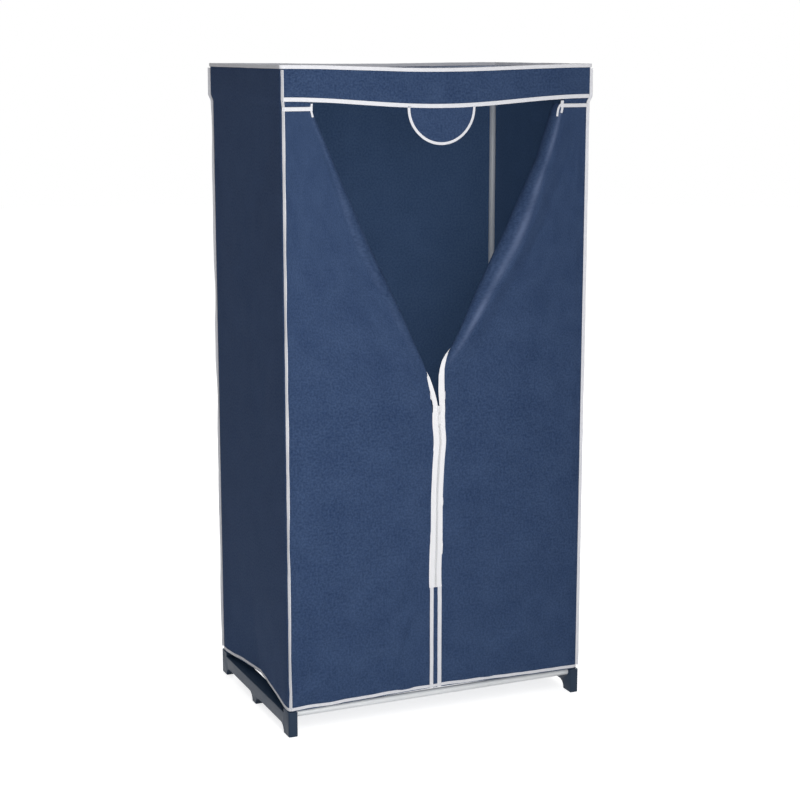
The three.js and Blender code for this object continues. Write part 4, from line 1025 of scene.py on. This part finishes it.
def makeZipTape(side, name):
    def place(x, z):
        return side * x + zipDrift(z), doorPlane - zipper["proud"] - waves(x, z, (0.25, 40, 111 + side)), z

    columns = spread(zipper["under"], zipper["outer"] + 1, zipper["across"])
    rows = spread(zipper["low"], zipper["split"], zipper["along"])
    piece = layCloth("zip_tape_cloth_" + name, columns, rows, place, zipper["cloth"], flip=side < 0)
    dress(piece, "zip_tape", "zip_tape_" + name)

    def splayed(share, z):
        inner, outer, innerDeep, outerDeep = (curve([(row[0], row[i]) for row in splay[side]], z) for i in range(1, 5))
        return side * mix(inner, outer, share), doorPlane - zipper["lipProud"] + mix(innerDeep, outerDeep, share), z

    rows = spread(zipper["split"], splay[side][-1][0], zipper["lipAlong"])
    lip = layCloth("zip_tape_splay_" + name, spread(0, 1, 0.2), rows, splayed, zipper["cloth"], flip=side < 0)
    if side > 0:
        dress(lip, "zip_tape", "zip_tape_" + name)
    else:
        dress(lip, "zip_tape", "flap_tape_" + name, body=None)
        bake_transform(lip)


def flapTape(side, name):
    plane = doorPlane - zipper["proud"]
    columns = spread(zipper["under"], zipper["outer"] + 1.4, zipper["across"])

    def foldLine(x):  # the tape starts here, just past the fold
        return door["vertex"] + max(x / tan(lean) + 3, 4 / cos(lean) - x * tan(lean))

    def behind(x, share):
        z = mix(foldLine(x), cornerCross(x=x, shift=-door["cornerGap"]).y, share)
        return sided(side, foldBack(Vector((x, plane, z))))

    def onSide(x, share):
        z = mix(cornerCross(x=x, shift=door["cornerGap"]).y, flapTop, share)
        return turnCorner(Vector((x, plane, z)), side)

    piece = layCloth("flap_tape_cloth_" + name, columns, spread(0, 1, zipper["flapAlong"]), behind, zipper["cloth"],
                     flip=side > 0)
    dress(piece, "zip_tape", "flap_tape_" + name, body="flap_" + name)
    corner = layCloth("corner_tape_cloth_" + name, columns, spread(0, 1, zipper["cornerAlong"]), onSide,
                      zipper["cloth"], flip=side > 0)
    dress(corner, "zip_tape", "flap_corner_tape_" + name, body="flap_corner_" + name)


for side, name in hand.items():
    makeZipTape(side, name)
    flapTape(side, name)
print("zip tapes made")


# Frame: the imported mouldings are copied, and their flat faces cleared of extra edges. Only the plugs get rounded edges.

plugEdge = 0.4


def copyNode(nodeName, pieceName, edge=0):
    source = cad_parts[nodeName]
    piece = source.copy()
    piece.data = source.data.copy()
    piece.name = piece.data.name = pieceName
    piece.hide_render = False
    for key in [k for k in piece.keys() if k.startswith("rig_")]:
        del piece[key]
    piece.parent = None
    scene.collection.objects.link(piece)
    weld(piece, 0.01, flatten=1)
    if edge:
        addModifier(piece, "BEVEL", width=edge * mm, segments=2, limit_method="ANGLE", angle_limit=radians(40),
                    use_clamp_overlap=True)
    smoothShade(piece, 35)
    dress(piece, "moulding", nodeName)


for level in ("base", "top"):
    for name in hand.values():
        copyNode(level + "_bracket_" + name, level + "_moulding_" + name)


# Tubes: rolled steel with an open bore, and a small chamfer round each cut end

steel = dict(wall=1.0, chamfer=0.3)


def makeTube(nodeName, pieceName):
    low, high = (Vector(corner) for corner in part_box(nodeName))
    size = high - low
    axis = max(range(3), key=lambda i: size[i])
    turn = [(0, pi / 2, 0), (pi / 2, 0, 0), (0, 0, 0)][axis]
    bpy.ops.mesh.primitive_cylinder_add(vertices=48, radius=min(size) / 2, depth=size[axis], end_fill_type="NOTHING",
                                        location=(low + high) / 2, rotation=turn)
    piece = newObject(pieceName)
    bpy.ops.object.transform_apply(location=True, rotation=True, scale=True)
    addModifier(piece, "SOLIDIFY", thickness=steel["wall"] * mm, offset=-1.0)
    addModifier(piece, "BEVEL", width=steel["chamfer"] * mm, segments=2, limit_method="ANGLE",
                angle_limit=radians(50))
    smoothShade(piece, 40)
    dress(piece, "tube", nodeName)


for depthName in face.values():
    for name in hand.values():
        corner = depthName + "_" + name
        makeTube("post_lower_" + corner, "lower_post_tube_" + corner)
        makeTube("post_upper_" + corner, "upper_post_tube_" + corner)
        copyNode("post_joiner_" + corner, "joiner_plug_" + corner, plugEdge)
for rail in ("bottom_rail_front", "bottom_rail_back", "top_rail_front", "top_rail_back", "hanging_rail"):
    makeTube(rail, rail + "_tube")
print("frame made")


# Coil: one bent tooth, repeated along the edge of each zip tape, the two sides half a step apart

coil = dict(low=318.0, joined=735.0, flapLow=759.0, pitch=3.0, tooth=(4.4, 1.8, 1.35), round=0.5, lean=0.03, middle=1.3,
            proud=1.7, beforeCorner=3, afterCorner=2, topGap=3)


def toothRow(name, side, low, high, settle):  # settle takes each point of the closed zip to where it lies
    start = Vector((side * coil["middle"], doorPlane - coil["proud"], low + (side + 1) * coil["pitch"] / 4))
    bpy.ops.mesh.primitive_cube_add(size=1, rotation=(0, side * coil["lean"], 0), location=start * mm)
    row = newObject(name)
    row.scale = Vector(coil["tooth"]) * mm
    bpy.ops.object.transform_apply(location=True, rotation=True, scale=True)
    addModifier(row, "BEVEL", width=coil["round"] * mm, segments=1, limit_method="NONE")
    addModifier(row, "ARRAY", count=int((high - low) / coil["pitch"]), use_relative_offset=False,
                use_constant_offset=True, constant_offset_displace=(0, 0, coil["pitch"] * mm))
    for vertex in row.data.vertices:
        vertex.co = settle(vertex.co / mm) * mm
    smoothShade(row, 40)
    return row


def makeCoil():
    def closed(point):
        return point + Vector((zipDrift(point.z), 0, 0))

    rows = [toothRow("zip_coil", side, coil["low"], coil["joined"], closed) for side in hand]
    joinAll(rows)
    dress(rows[0], "zip_coil", "zip_teeth")
    turn = cornerCross(x=coil["middle"]).y
    for side, name in hand.items():

        def behind(point):
            return sided(side, foldBack(sided(side, point)))

        def atCorner(point):
            return turnCorner(sided(side, point), side)

        row = toothRow("flap_coil_" + name, side, coil["flapLow"], turn - coil["beforeCorner"], behind)
        dress(row, "zip_coil", "flap_tape_" + name, body="flap_" + name)
        row = toothRow("corner_coil_" + name, side, turn + coil["afterCorner"], sleeve["doorTop"] - coil["topGap"],
                       atCorner)
        dress(row, "zip_coil", "flap_corner_tape_" + name, body="flap_corner_" + name)


makeCoil()

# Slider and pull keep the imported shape
for nodeName in ("zip_slider", "zip_pull"):
    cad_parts[nodeName].data.materials.clear()
    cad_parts[nodeName].data.materials.append(finishes["enamel"])
print("zip made")


# Studio: a pale floor that runs out to white, a tall soft box close to the left of the front, a larger one far behind
# on the right, and light from all round. Watts and metres.

studio = dict(key=21.5, keyWide=0.4, keyTall=2.6, keyFrom=(-0.42, -1.6, 1.32), back=90.0, backSize=2.2,
              backFrom=(1.9, 3.4, 2.2), backAt=(0, 0, 0.9), fill=0.3, floorReach=14, floorGlow=0.78)


def seenDirectly(tree):  # 1 on the way from the camera, a reflection or a transmission, otherwise 0
    rays = addNode(tree, "ShaderNodeLightPath").outputs
    seen = addMath(tree, "MAXIMUM", rays["Is Camera Ray"], rays["Is Glossy Ray"])
    return addMath(tree, "MAXIMUM", seen, rays["Is Transmission Ray"])


floorMaterial, tree, surface = newMaterial("matPaper", 0.9)
surface.inputs["Base Color"].default_value = fromHex("#d9d9d9")
glow = addNode(tree, "ShaderNodeEmission", {"Strength": studio["floorGlow"]}).outputs[0]
dark = addNode(tree, "ShaderNodeEmission", {"Strength": 0.0}).outputs[0]
shown = addNode(tree, "ShaderNodeMixShader", {0: seenDirectly(tree), 1: dark, 2: glow}).outputs[0]
both = addNode(tree, "ShaderNodeAddShader", {0: surface.outputs[0], 1: shown}).outputs[0]
tree.links.new(both, tree.nodes["Material Output"].inputs["Surface"])

bpy.ops.mesh.primitive_circle_add(vertices=96, radius=studio["floorReach"], fill_type="NGON", location=(0, 0, 0))
floor = newObject("floor")
floor.data.materials.append(floorMaterial)

world = bpy.data.worlds.new("paleRoom")
world.use_nodes = True
scene.world = world
tree = world.node_tree
tree.nodes.clear()
strength = addRange(tree, seenDirectly(tree), 0, 1, studio["fill"], 1.0)
room = addNode(tree, "ShaderNodeBackground", {"Color": (1, 1, 1, 1), "Strength": strength}).outputs[0]
addNode(tree, "ShaderNodeOutputWorld", {"Surface": room})


def addSoftBox(name, place, facing, watts, across, tall):
    bpy.ops.object.light_add(type="AREA", location=place)
    lamp = newObject(name)
    lamp.data.shape = "RECTANGLE"
    lamp.data.size = across
    lamp.data.size_y = tall
    lamp.data.energy = watts
    lamp.rotation_euler = (Vector(facing) - lamp.location).to_track_quat("-Z", "Y").to_euler()
    lamp.visible_camera = False


keyX, keyY, keyZ = studio["keyFrom"]
addSoftBox("keyLight", studio["keyFrom"], (keyX, 0, keyZ), studio["key"], studio["keyWide"], studio["keyTall"])
addSoftBox("backLight", studio["backFrom"], studio["backAt"], studio["back"], studio["backSize"], studio["backSize"])

scene.view_settings.view_transform = "Standard"
print("studio set")
